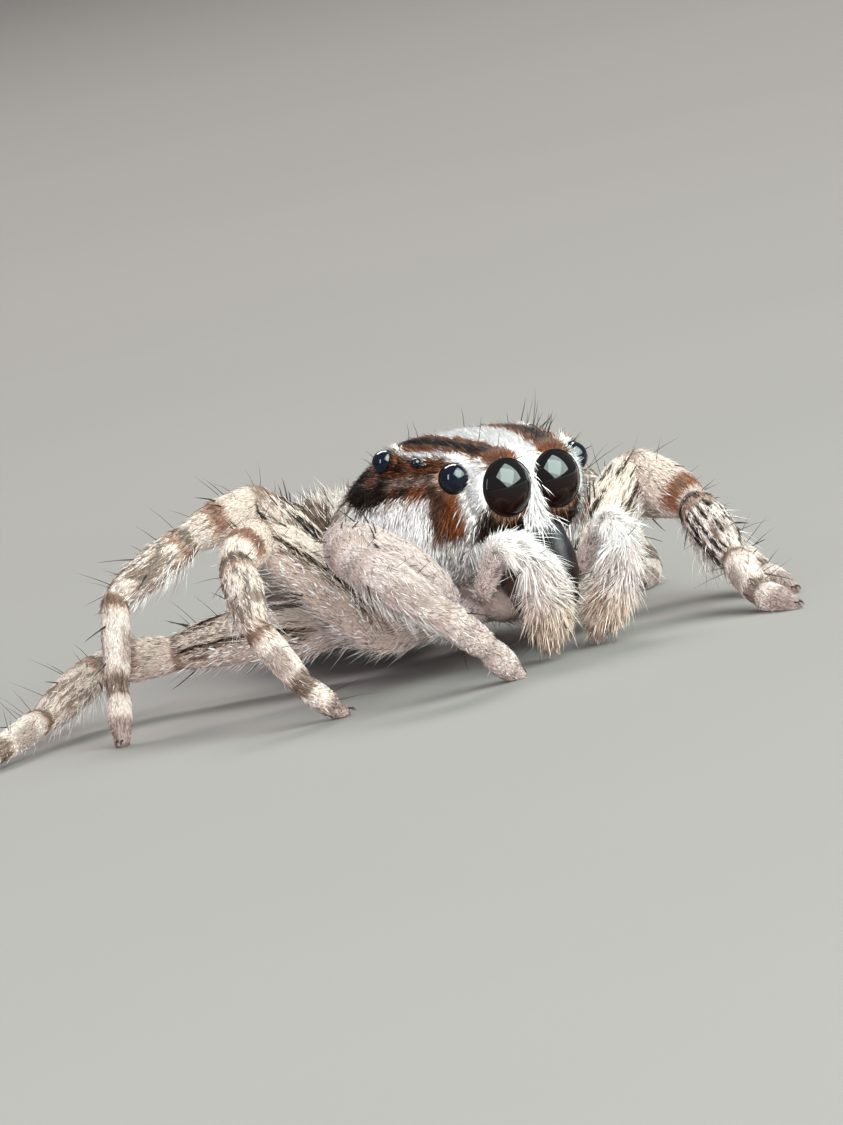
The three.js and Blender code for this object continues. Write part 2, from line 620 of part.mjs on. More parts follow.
const kept = []; // blades that already grow, each with its node's name
for (const [name, { core, finish, blades }] of pieces) {
  const clear = ({ real, room }) =>
    real.boundingBox().min[2] > FLOOR_ROOM &&
    [...pieces].every(([other, { core: solidThere }]) => other === name || !meet(room, solidThere)) &&
    kept.every(({ owner, real: grown }) => owner === name || !meet(room, grown));
  const growing = blades.filter(clear);
  growing.forEach(({ real }) => kept.push({ owner: name, real }));
  addPiece(name, join([core, ...growing.map(({ real }) => real)]), finish);
}

// The middle of the model's footprint is the origin, and the floor stays at Z 0.
const box = new THREE.Box3().setFromObject(stance);
const middle = box.getCenter(new THREE.Vector3());
stance.position.set(-middle.x, -middle.y, 0);

export default model;
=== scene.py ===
"""A still, life-size jumping spider, dressed for the camera and for a walk round it.

Sizes are in millimetres until a mesh is made. The body frame has its origin midway between the two big front
eyes, with +X to the spider's left, +Y to its back and +Z up. Hair is solid mesh that grows over one skin.
"""

import logging
import math
from dataclasses import dataclass, field
from enum import Enum
from typing import Sequence

import bpy
import numpy as np
from mathutils import Matrix, Vector


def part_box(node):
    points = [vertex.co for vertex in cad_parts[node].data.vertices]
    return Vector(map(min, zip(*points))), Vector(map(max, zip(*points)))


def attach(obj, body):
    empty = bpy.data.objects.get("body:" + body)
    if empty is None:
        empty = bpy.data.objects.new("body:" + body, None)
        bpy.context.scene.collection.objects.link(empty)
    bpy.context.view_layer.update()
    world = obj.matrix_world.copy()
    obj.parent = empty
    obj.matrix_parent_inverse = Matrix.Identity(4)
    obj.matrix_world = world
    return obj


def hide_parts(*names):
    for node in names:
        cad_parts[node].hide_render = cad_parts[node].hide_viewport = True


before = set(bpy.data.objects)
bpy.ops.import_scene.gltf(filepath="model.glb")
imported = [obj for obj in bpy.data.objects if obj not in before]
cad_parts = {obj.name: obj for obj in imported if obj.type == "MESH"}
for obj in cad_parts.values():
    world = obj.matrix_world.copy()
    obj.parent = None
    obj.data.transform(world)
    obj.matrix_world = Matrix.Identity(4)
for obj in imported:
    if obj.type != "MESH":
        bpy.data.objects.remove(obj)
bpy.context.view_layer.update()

logging.basicConfig(level=logging.INFO, format="%(message)s")
log = logging.getLogger("spider")

Array = np.ndarray
Chance = np.random.Generator
Triple = tuple[float, float, float]
Stops = tuple[tuple[float, float], ...]
MM = 0.001
UP = np.array([0.0, 0.0, 1.0])
TINY = 1e-9
SEED = 7
WAVE_COUNT = 9
WAVE_SPREAD = (0.6, 1.9)

# ---- Numbers and fields -----------------------------------------------------------------------------------


def unit(vectors: Array) -> Array:
    """Vectors brought to length one."""
    return vectors / np.maximum(np.linalg.norm(vectors, axis=-1, keepdims=True), TINY)


def dot(first: Array, second: Array) -> Array:
    """The inner product of two lists of vectors."""
    return np.sum(first * second, axis=-1)


def running(steps: Array) -> Array:
    """The way travelled before each step and after the last."""
    return np.concatenate([[0.0], np.cumsum(steps)])


def ramp(values: Array, start: float | Array, end: float | Array) -> Array:
    """A smooth step from 0 at start to 1 at end, which may be the lower one."""
    share = np.clip((values - start) / (end - start), 0.0, 1.0)
    return share * share * (3.0 - 2.0 * share)


def band(values: Array, low: float | Array, high: float | Array, soft: float) -> Array:
    """One between low and high, fading out over a soft edge on each side."""
    return ramp(values, low - soft, low + soft) * ramp(values, high + soft, high - soft)


def by(values: Array, *stops: tuple[float, float]) -> Array:
    """Values read off straight lines between (place, size) stops."""
    places, sizes = zip(*stops)
    return np.interp(values, places, sizes)


def folded(where: Array) -> tuple[Array, Array, Array]:
    """The distance from the middle plane, the place along the body and the height of each point."""
    return np.abs(where[..., 0]), where[..., 1], where[..., 2]


def repeated(row: Sequence[float], count: int) -> Array:
    """One row of values given to each of many points."""
    return np.tile(np.array(row), (count, 1))


def waves(points: Array, size: float, seed: int) -> Array:
    """A smooth wandering field, about -1 to 1, with lumps of the given size.

    Args:
        points: Places, one row each.
        size: The width of a lump in the same unit.
        seed: Chooses the field.

    Returns:
        One value for each point.
    """
    rng = np.random.default_rng(seed)
    total = np.zeros(points.shape[:-1])
    for _ in range(WAVE_COUNT):
        direction = unit(rng.normal(size=3)) * rng.uniform(*WAVE_SPREAD) * math.pi / size
        total += np.sin(points[..., :3] @ direction + rng.uniform(0, math.tau))
    return total / math.sqrt(WAVE_COUNT)


@dataclass(frozen=True)
class Place:
    """A turned and moved frame."""

    turn: Array
    origin: Array

    def points(self, points: Array | Sequence[float]) -> Array:
        """Points of this frame in the model's millimetres."""
        return np.asarray(points, dtype=float) @ self.turn.T + self.origin

    def directions(self, directions: Array | Sequence[float]) -> Array:
        """Directions of this frame as the model's."""
        return np.asarray(directions, dtype=float) @ self.turn.T

    def within(self, inner: "Place") -> "Place":
        """The model's frame for one that is given inside this one."""
        return Place(self.turn @ inner.turn, self.points(inner.origin))


def turned(angle: float, axis: str) -> Array:
    """The matrix of a turn about an axis, in degrees."""
    return np.array(Matrix.Rotation(math.radians(angle), 3, axis))


class Side(Enum):
    """The two sides of the spider, with the sign of X there."""

    RIGHT = -1
    LEFT = 1

    @property
    def word(self) -> str:
        """The side's name in lower case."""
        return self.name.lower()

    def mirrored(self, place: Sequence[float]) -> Array:
        """A place or direction of the left side as it is on this one."""
        return np.array([place[0] * self.value, place[1], place[2]])


def node_middle(node: str) -> Array:
    """The middle of a CAD node's box in millimetres."""
    low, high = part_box(node)
    return np.array((Vector(low) + Vector(high)) / 2) / MM


EYE_HEIGHT = 2.0
BODY_ROLL = 4.5
BELLY_TURN = -25.0
BELLY_START = np.array([0.0, 3.46, -0.86])
STANCE = (node_middle("eye_front_middle_right") + node_middle("eye_front_middle_left")) / 2
STANCE[2] = 0.0
BODY = Place(turned(BODY_ROLL, "Y"), STANCE + EYE_HEIGHT * UP)
BELLY = BODY.within(Place(turned(BELLY_TURN, "Z"), BELLY_START))

# ---- Surfaces and what grows on them ----------------------------------------------------------------------


@dataclass
class Roots:
    """Places on a surface where hair may grow."""

    at: Array
    out: Array
    along: Array
    where: Array
    uv: Array

    def __len__(self) -> int:
        """How many places there are."""
        return len(self.at)

    def only(self, chosen: Array) -> "Roots":
        """The places that a mask or a list of numbers picks out."""
        kept = (values[chosen] for values in (self.at, self.out, self.along, self.where, self.uv))
        return Roots(*kept)

    def shaken(self, rng: Chance, spread: float) -> Array:
        """Where the markings are read for each root, a little off its place, so that their edges break up."""
        return self.where + rng.normal(0, spread, self.where.shape)


@dataclass
class Surface:
    """A closed tube of rings in the model's millimetres, with what the markings read at each point."""

    points: Array
    where: Array

    def __post_init__(self) -> None:
        """Works out the outward side and the direction along the tube at each point."""
        lengthways = np.gradient(self.points, axis=0)
        round_about = np.roll(self.points, -1, axis=1) - np.roll(self.points, 1, axis=1)
        out = unit(np.cross(lengthways, round_about))
        from_middle = self.points - self.points.mean(axis=1, keepdims=True)
        self.out = -out if np.sum(dot(out, from_middle)) < 0 else out
        self.along = unit(lengthways)

    def pushed(self, height: float) -> "Surface":
        """The same surface moved out by a height in millimetres, or in where it is negative."""
        return Surface(self.points + self.out * height, self.where)

    def shares(self) -> Array:
        """How far along the tube each ring lies, from 0 to 1."""
        travelled = running(np.linalg.norm(np.diff(self.points, axis=0), axis=2).mean(axis=1))
        return travelled / max(travelled[-1], TINY)

    def sample(self, count: int, rng: Chance, density: Array | None = None) -> Roots:
        """Draws places evenly over the surface, or as a density says.

        Args:
            count: How many places.
            rng: The source of chance.
            density: A weight at each point of the grid.

        Returns:
            The places drawn.
        """
        sides = self.points.shape[1]
        following = (np.arange(sides) + 1) % sides
        here, ahead = self.points[:-1], self.points[1:]
        area = np.linalg.norm(np.cross(ahead - here, here[:, following] - here), axis=2)
        if density is not None:
            area = area * np.maximum(density[:-1], 0.0)
        chosen = rng.choice(area.size, size=count, p=area.ravel() / area.sum())
        ring, side = np.divmod(chosen, sides)
        up, across = rng.random(count)[:, None], rng.random(count)[:, None]
        beside = following[side]

        def blended(grid: Array) -> Array:
            """The grid's values read between four neighbours."""
            low = grid[ring, side] * (1 - across) + grid[ring, beside] * across
            high = grid[ring + 1, side] * (1 - across) + grid[ring + 1, beside] * across
            return low * (1 - up) + high * up

        share = self.shares()
        u = (side + across[:, 0]) / sides
        v = share[ring] * (1 - up[:, 0]) + share[ring + 1] * up[:, 0]
        out, along = unit(blended(self.out)), unit(blended(self.along))
        return Roots(blended(self.points), out, along, blended(self.where), np.stack([u, v], axis=-1))


def cubic_rows(rows: Sequence[Sequence[float]], places: Array) -> Array:
    """Reads a table of sections with a smooth cubic through its rows.

    Args:
        rows: Each row is the place along the body and the values there.
        places: Where to read.

    Returns:
        One row of values for each place.
    """
    table = np.asarray(rows, dtype=float)
    knots, values = table[:, 0], table[:, 1:]
    last = len(knots) - 1
    after = np.clip(np.searchsorted(knots, places, side="right"), 1, last)
    before = after - 1
    width = knots[after] - knots[before]
    share = ((places - knots[before]) / width)[:, None]

    def slope(at: Array) -> Array:
        """The slope of the curve at each knot, from its neighbours."""
        low, high = np.maximum(at - 1, 0), np.minimum(at + 1, last)
        return (values[high] - values[low]) / (knots[high] - knots[low])[:, None]

    start, end = slope(before) * width[:, None], slope(after) * width[:, None]
    square, cube = share**2, share**3
    return (
        (2 * cube - 3 * square + 1) * values[before]
        + (cube - 2 * square + share) * start
        + (3 * square - 2 * cube) * values[after]
        + (cube - square) * end
    )


@dataclass(frozen=True)
class BodyLoft:
    """A body drawn through sections, each (place along it, half width, top, bottom, boxiness)."""

    rows: tuple[tuple[float, ...], ...]
    rings: int
    sides: int
    caps: int = 6
    widest: float = 0.42
    smallest: float = 0.02
    outline_points: int = 1441

    def grid(self) -> Array:
        """Rings from front to back in the body's own frame, even round each ring and with both ends capped.

        Returns:
            The points, by ring and then round the ring.
        """
        first, last = self.rows[0][0], self.rows[-1][0]
        share = (1 - np.cos(np.pi * np.arange(self.rings) / (self.rings - 1))) / 2
        stations = first + (last - first) * share
        sections = cubic_rows(self.rows, stations)
        grid = np.array([self.ring(place, *section) for place, section in zip(stations, sections)])
        sizes = np.linspace(self.smallest, 1.0, self.caps, endpoint=False)
        front = np.array([self.shrunk(grid[0], size) for size in sizes])
        back = np.array([self.shrunk(grid[-1], size) for size in sizes[::-1]])
        return np.concatenate([front, grid, back])

    @staticmethod
    def shrunk(ring: Array, size: float) -> Array:
        """A ring drawn in towards its middle."""
        middle = ring.mean(axis=0)
        return middle + (ring - middle) * size

    def ring(self, place: float, half: float, top: float, bottom: float, boxy: float) -> Array:
        """One section with its points evenly spaced, starting underneath.

        Args:
            place: Where it stands along the body.
            half: Its half width.
            top: The height of its top.
            bottom: The height of its underside.
            boxy: 0 for an ellipse, and squarer towards 1.

        Returns:
            The points round the section.
        """
        angles = np.linspace(-np.pi / 2, 1.5 * np.pi, self.outline_points)
        power = 1 - boxy
        across = np.sign(np.cos(angles)) * np.abs(np.cos(angles)) ** power
        up = np.sign(np.sin(angles)) * np.abs(np.sin(angles)) ** power
        waist = bottom + self.widest * (top - bottom)
        height = waist + up * np.where(up > 0, top - waist, waist - bottom)
        outline = np.stack([half * across, np.full_like(across, place), height], axis=-1)
        travelled = running(np.linalg.norm(np.diff(outline, axis=0), axis=1))
        wanted = travelled[-1] * np.arange(self.sides) / self.sides
        return np.stack([np.interp(wanted, travelled, column) for column in outline.T], axis=-1)


@dataclass(frozen=True)
class Length:
    """One length of a limb: how much deeper than wide it is, and its radius at shares of its length."""

    deep: float
    radii: Stops
    bow: float = 0.0


@dataclass(frozen=True)
class LimbLoft:
    """A limb as one smooth skin along its joints, drawn in a little at each joint."""

    joints: Array
    lengths: tuple[Length, ...]
    first: int = 0
    girth: float = 1.0
    inset: float = 0.0
    ring_step: float = 0.036
    sides: int = 28
    softness: float = 0.07
    step: float = 0.01
    floor: float = 0.006
    pinch: float = 0.13
    pinch_reach: float = 0.09
    end_room: float = 0.04
    held: float = 0.38
    cap_angles: tuple[float, ...] = (0.35, 0.7, 1.0, 1.25, 1.42, 1.53)

    def surface(self) -> Surface:
        """Draws the limb's skin.

        Returns:
            The skin, which reads as (lengths passed, facing up, facing sideways, facing the limb's back).
        """
        ends = running(np.linalg.norm(np.diff(self.joints, axis=0), axis=1))
        travelled = np.arange(0.0, ends[-1] + self.step / 2, self.step)
        passed = np.interp(travelled, ends, self.first + np.arange(len(ends)))
        line = np.stack([np.interp(travelled, ends, column) for column in self.joints.T], axis=-1)
        line = self.smoothed(line + self.bowed(passed))
        direction = unit(np.gradient(line, axis=0))
        side = unit(np.cross(direction, UP))
        up = np.cross(side, direction)
        radius, deep = self.sizes(passed, ends, travelled)
        chosen = np.unique(np.linspace(0, len(travelled) - 1, int(ends[-1] / self.ring_step)).astype(int))
        rings = [(line[i], direction[i], side[i], up[i], radius[i], deep[i], passed[i]) for i in chosen]
        rings = self.cap(rings[0], -1)[::-1] + rings + self.cap(rings[-1], 1)
        angles = np.arange(self.sides) / self.sides * math.tau + math.pi
        sine, cosine = np.sin(angles)[:, None], np.cos(angles)[:, None]
        points, where = [], []
        for centre, _, across, lift, size, depth, passing in rings:
            ring = centre + size * (sine * across + depth * cosine * lift)
            outward = unit(ring - centre)
            points.append(ring)
            readings = (np.full(self.sides, passing), outward[:, 2], dot(outward, across), dot(outward, lift))
            where.append(np.stack(readings, axis=-1))
        grid = np.array(points)
        grid[..., 2] = np.maximum(grid[..., 2], self.floor)
        return Surface(grid, np.array(where))

    def cap(self, ring: tuple, sense: int) -> list[tuple]:
        """The rings of a round end.

        Args:
            ring: The first or last ring, as its middle, three directions, radius, depth and lengths passed.
            sense: -1 before the first ring and 1 after the last.

        Returns:
            Rings of the same kind, from the given one outwards.
        """
        centre, direction, side, up, radius, deep, passed = ring
        rings = []
        for angle in self.cap_angles:
            middle = centre + sense * direction * radius * math.sin(angle)
            rings.append((middle, direction, side, up, radius * math.cos(angle), deep, passed))
        return rings

    def smoothed(self, line: Array) -> Array:
        """The middle line with its corners eased.

        Args:
            line: Points a step apart.

        Returns:
            As many points, each a weighted mean of its neighbours.
        """
        reach = int(3 * self.softness / self.step)
        weights = np.exp(-0.5 * (np.arange(-reach, reach + 1) * self.step / self.softness) ** 2)
        weights /= weights.sum()
        before = line[0] + (line[0] - line[1]) * np.arange(reach, 0, -1)[:, None]
        after = line[-1] + (line[-1] - line[-2]) * np.arange(1, reach + 1)[:, None]
        padded = np.concatenate([before, line, after])
        return np.stack([np.convolve(column, weights, mode="valid") for column in padded.T], axis=-1)

    def bowed(self, passed: Array) -> Array:
        """How far each point of the middle line is lifted by the bow of its length.

        Args:
            passed: The lengths passed at each point.

        Returns:
            One step for each point.
        """
        lift = np.zeros((len(passed), 3))
        for i, form in enumerate(self.lengths):
            share = np.clip(passed - self.first - i, 0.0, 1.0)
            direction = unit(self.joints[i + 1] - self.joints[i])
            side = unit(np.cross(direction, UP))
            lift += (form.bow * 4 * share * (1 - share))[:, None] * np.cross(side, direction)
        return lift

    def sizes(self, passed: Array, ends: Array, travelled: Array) -> tuple[Array, Array]:
        """How thick the limb is.

        Args:
            passed: The lengths passed at each point of the middle line.
            ends: How far along the limb each joint lies.
            travelled: How far along it each point lies.

        Returns:
            The radius at each point, and its depth as a share of its width.
        """
        places, radii, deeps = [], [], []
        for i, form in enumerate(self.lengths):
            girth = self.girth if self.first + i >= 0 else 1.0
            for share, radius in form.radii:
                places.append(self.first + i + self.end_room + (1 - 2 * self.end_room) * share)
                radii.append(radius * girth)
            middle = self.first + i + 0.5
            deeps += [(middle - self.held, form.deep), (middle + self.held, form.deep)]
        radius = np.interp(passed, places, radii) - self.inset
        for joint in ends[1:-1]:
            radius = radius * (1 - self.pinch * np.exp(-(((travelled - joint) / self.pinch_reach) ** 2)))
        return radius, by(passed, *deeps)


# How high over the floor a leg's last joint lies.
SOLE = 0.05


def chain(start: Array, lengths: Sequence[float], turn: Sequence[float], lift: Sequence[float]) -> Array:
    """The joints of a limb, from its start through each turned and lifted length.

    Args:
        start: The first joint.
        lengths: The length of each part.
        turn: Each part's turn about the vertical, anticlockwise from +X, in degrees.
        lift: Each part's lift in degrees, but for a leg's last, which ends on the floor.

    Returns:
        One joint more than there are lengths.
    """
    joints = [np.asarray(start, dtype=float)]
    for i, length in enumerate(lengths):
        down = math.asin(max(-1.0, min(1.0, (SOLE - joints[-1][2]) / length)))
        rise = math.radians(lift[i]) if i < len(lift) else down
        heading = math.radians(turn[i])
        flat = math.cos(rise)
        step = np.array([flat * math.cos(heading), flat * math.sin(heading), math.sin(rise)])
        joints.append(joints[-1] + step * length)
    return np.array(joints)


# ---- Meshes -----------------------------------------------------------------------------------------------

WHOLE_CHART = (0.02, 0.02, 0.96, 0.96)
BARE_STRAND = (0.5, 0.0, 0.0, 1.0)
EDGES = ((0, 1), (1, 2), (2, 0))


@dataclass
class Sheet:
    """Points, faces and what they carry, before they are a Blender mesh."""

    points: Array
    faces: Array
    uv: Array
    marks: Array
    strand: Array

    @staticmethod
    def joined(parts: Sequence["Sheet"]) -> "Sheet":
        """Several sheets as one.

        Args:
            parts: The sheets, all with as many corners to a face.

        Returns:
            One sheet, in the same order.
        """
        starts = np.cumsum([0, *(len(part.points) for part in parts[:-1])])
        faces = np.concatenate([part.faces + start for part, start in zip(parts, starts)])
        names = ("points", "uv", "marks", "strand")
        points, *carried = [np.concatenate([getattr(part, name) for part in parts]) for name in names]
        return Sheet(points, faces, *carried)

    def piece(self, name: str, finish: "Finish", slot: str, replaces: Sequence[str] = ()) -> None:
        """Makes the sheet a dressed Blender object that rides with the model.

        Args:
            name: The piece's name.
            finish: What it is dressed in.
            slot: The name of a material slot, which is not used.
            replaces: The CAD nodes it stands for.
        """
        mesh = bpy.data.meshes.new(name)
        mesh.vertices.add(len(self.points))
        mesh.vertices.foreach_set("co", (self.points * MM).astype(np.float32).ravel())
        mesh.loops.add(self.faces.size)
        mesh.loops.foreach_set("vertex_index", self.faces.astype(np.int32).ravel())
        mesh.polygons.add(len(self.faces))
        mesh.polygons.foreach_set("loop_start", (np.arange(len(self.faces)) * 3).astype(np.int32))
        mesh.polygons.foreach_set("use_smooth", np.ones(len(self.faces), dtype=bool))
        mesh.update(calc_edges=True)
        chart = mesh.uv_layers.new(name="OFBake")
        spots = self.uv[self.faces.ravel()] if len(self.uv) == len(self.points) else self.uv
        chart.uv.foreach_set("vector", spots.astype(np.float32).ravel())
        for label, values in (("marks", self.marks), ("strand", self.strand)):
            layer = mesh.attributes.new(label, "FLOAT_COLOR", "POINT")
            layer.data.foreach_set("color", values.astype(np.float32).ravel())
        thing = placed(name, mesh)
        finish.dress(thing)
        if replaces:
            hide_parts(*replaces)
        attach(thing, "root")
        log.info("%s: %d triangles", name, len(self.faces))


def placed(name: str, data: bpy.types.ID) -> bpy.types.Object:
    """Makes an object of a mesh, a light or a camera and puts it in the scene.

    Args:
        name: Its name.
        data: What it holds.

    Returns:
        The object.
    """
    thing = bpy.data.objects.new(name, data)
    bpy.context.scene.collection.objects.link(thing)
    return thing


def tube_sheet(surface: Surface, marks: Array | None = None, chart: Sequence[float] = WHOLE_CHART) -> Sheet:
    """The skin of one surface as triangles.

    Args:
        surface: The rings.
        marks: Markings at each point of the grid, if it has any.
        chart: Left, bottom, width and height of its part of the unwrap.

    Returns:
        The sheet, with its unwrap kept whole across the seam.
    """
    rings, sides = surface.points.shape[:2]
    ring, side = np.divmod(np.arange((rings - 1) * sides), sides)
    a, b = ring * sides + side, ring * sides + (side + 1) % sides
    c, d = b + sides, a + sides
    faces = np.concatenate([np.stack([a, b, c], 1), np.stack([a, c, d], 1)])
    share = surface.shares()
    u0, u1 = side / sides, (side + 1) / sides
    v0, v1 = share[ring], share[ring + 1]
    first = np.stack([u0, v0, u1, v0, u1, v1], 1).reshape(-1, 2)
    second = np.stack([u0, v0, u1, v1, u0, v1], 1).reshape(-1, 2)
    uv = np.concatenate([first, second]) * np.array(chart[2:]) + np.array(chart[:2])
    points = surface.points.reshape(-1, 3)
    test = (rings // 2) * sides
    outward = points[test] - surface.points[rings // 2].mean(axis=0)
    corner, second_corner, third_corner = points[faces[test]]
    if np.cross(second_corner - corner, third_corner - corner) @ outward < 0:
        faces = faces[:, ::-1]
        uv = uv.reshape(-1, 3, 2)[:, ::-1].reshape(-1, 2)
    shown = np.zeros((len(points), 4)) if marks is None else marks.reshape(len(points), 4)
    return Sheet(points, faces, uv, shown, repeated(BARE_STRAND, len(points)))


@dataclass(frozen=True)
class Cut:
    """How one kind of hair is cut: its size in millimetres, how it stands and how it bends."""

    length: float
    width: float
    lean: float
    stray: float
    bend: float
    droop: float = 0.0
    uneven: float = 0.3
    rings: Stops = ((0.0, 1.0),)
    ridge: float = 0.45
    sink: float = 0.02
    uneven_width: float = 0.15
    lean_limits: tuple[float, float] = (3.0, 88.0)
    floor: float = 0.003
    patch: float = 0.003

    def grow(
        self, roots: Roots, comb: Array, marks: Array, rng: Chance, longer: Array | float = 1.0
    ) -> Sheet:
        """Grows one tapered blade at each root.

        Args:
            roots: Where the hair stands.
            comb: The direction it is combed in at each root.
            marks: Its markings.
            rng: The source of chance.
            longer: A factor on each blade's length.

        Returns:
            The blades as one sheet.
        """
        count = len(roots)
        lie = unit(comb - roots.out * dot(comb, roots.out)[:, None])
        across = np.cross(roots.out, lie)
        yaw = np.radians(rng.normal(0.0, self.stray, count))[:, None]
        lie = lie * np.cos(yaw) + across * np.sin(yaw)
        lean = np.clip(rng.normal(self.lean, self.stray * 0.5, count), *self.lean_limits)
        lean = np.radians(lean)[:, None]
        heading = lie * np.cos(lean) + roots.out * np.sin(lean)
        across = unit(np.cross(heading, roots.out))
        face = np.cross(across, heading)
        size = (self.length * longer * np.exp(rng.normal(0.0, self.uneven, count)))[:, None]
        width = self.width * np.exp(rng.normal(0.0, self.uneven_width, count))
        curve = face * self.bend - UP * self.droop
        start = roots.at - roots.out * self.sink
        points, shares, offsets = [], [], []
        for share, scale in self.rings:
            middle = start + heading * (size * share) + curve * (size * share**2)
            for sideways, outwards in ((-0.5, 0.0), (0.5, 0.0), (0.0, self.ridge)):
                side_step = across * (width * scale * sideways)[:, None]
                points.append(middle + side_step + face * (width * scale * outwards)[:, None])
                shares.append(share)
                offsets.append(sideways)
        points.append(start + heading * size + curve * size)
        grid = np.stack(points, axis=1)
        grid[..., 2] = np.maximum(grid[..., 2], self.floor)
        shares, offsets = np.array([*shares, 1.0]), np.array([*offsets, 0.0])
        faces = (self.template()[None] + (np.arange(count) * len(shares))[:, None, None]).reshape(-1, 3)
        centre = np.clip(roots.uv, self.patch, 1 - self.patch)
        drift = np.stack([offsets, shares - 0.5], axis=-1) * self.patch
        uv = (centre[:, None, :] + drift[None]).reshape(-1, 2)
        strand = np.ones((count, len(shares), 4))
        strand[..., 0] = rng.random(count)[:, None]
        strand[..., 1] = shares
        strand[..., 2] = rng.random(count)[:, None]
        shown = np.repeat(marks, len(shares), axis=0)
        return Sheet(grid.reshape(-1, 3), faces, uv, shown, strand.reshape(-1, 4))

    def template(self) -> Array:
        """The faces of one blade: its root, its sides ring by ring, and its tip.

        Returns:
            Three corners for each face.
        """
        faces = [(0, 2, 1)]
        tip = 3 * len(self.rings)
        for base in range(0, tip - 3, 3):
            top = base + 3
            for i, j in EDGES:
                faces += [(base + i, base + j, top + j), (base + i, top + j, top + i)]
        faces += [(tip - 3 + i, tip - 3 + j, tip) for i, j in EDGES]
        return np.array(faces)


# ---- Nodes and finishes -----------------------------------------------------------------------------------


class Wire:
    """A node's socket that gives a number, with the arithmetic that adds Math nodes."""

    def __init__(self, bench: "Bench", socket: bpy.types.NodeSocket) -> None:
        """Keeps the socket and the bench that its tree is built on."""
        self.bench = bench
        self.socket = socket

    def sum_of(self, operation: str, first: object, second: object) -> "Wire":
        """One Math node on two numbers or wires."""
        return self.bench.node("ShaderNodeMath", {"operation": operation}, {0: first, 1: second})

    def __add__(self, other: object) -> "Wire":
        """This plus other."""
        return self.sum_of("ADD", self, other)

    def __radd__(self, other: object) -> "Wire":
        """Other plus this."""
        return self.sum_of("ADD", other, self)

    def __sub__(self, other: object) -> "Wire":
        """This less other."""
        return self.sum_of("SUBTRACT", self, other)

    def __rsub__(self, other: object) -> "Wire":
        """Other less this."""
        return self.sum_of("SUBTRACT", other, self)

    def __mul__(self, other: object) -> "Wire":
        """This times other."""
        return self.sum_of("MULTIPLY", self, other)

    def __rmul__(self, other: object) -> "Wire":
        """Other times this."""
        return self.sum_of("MULTIPLY", other, self)


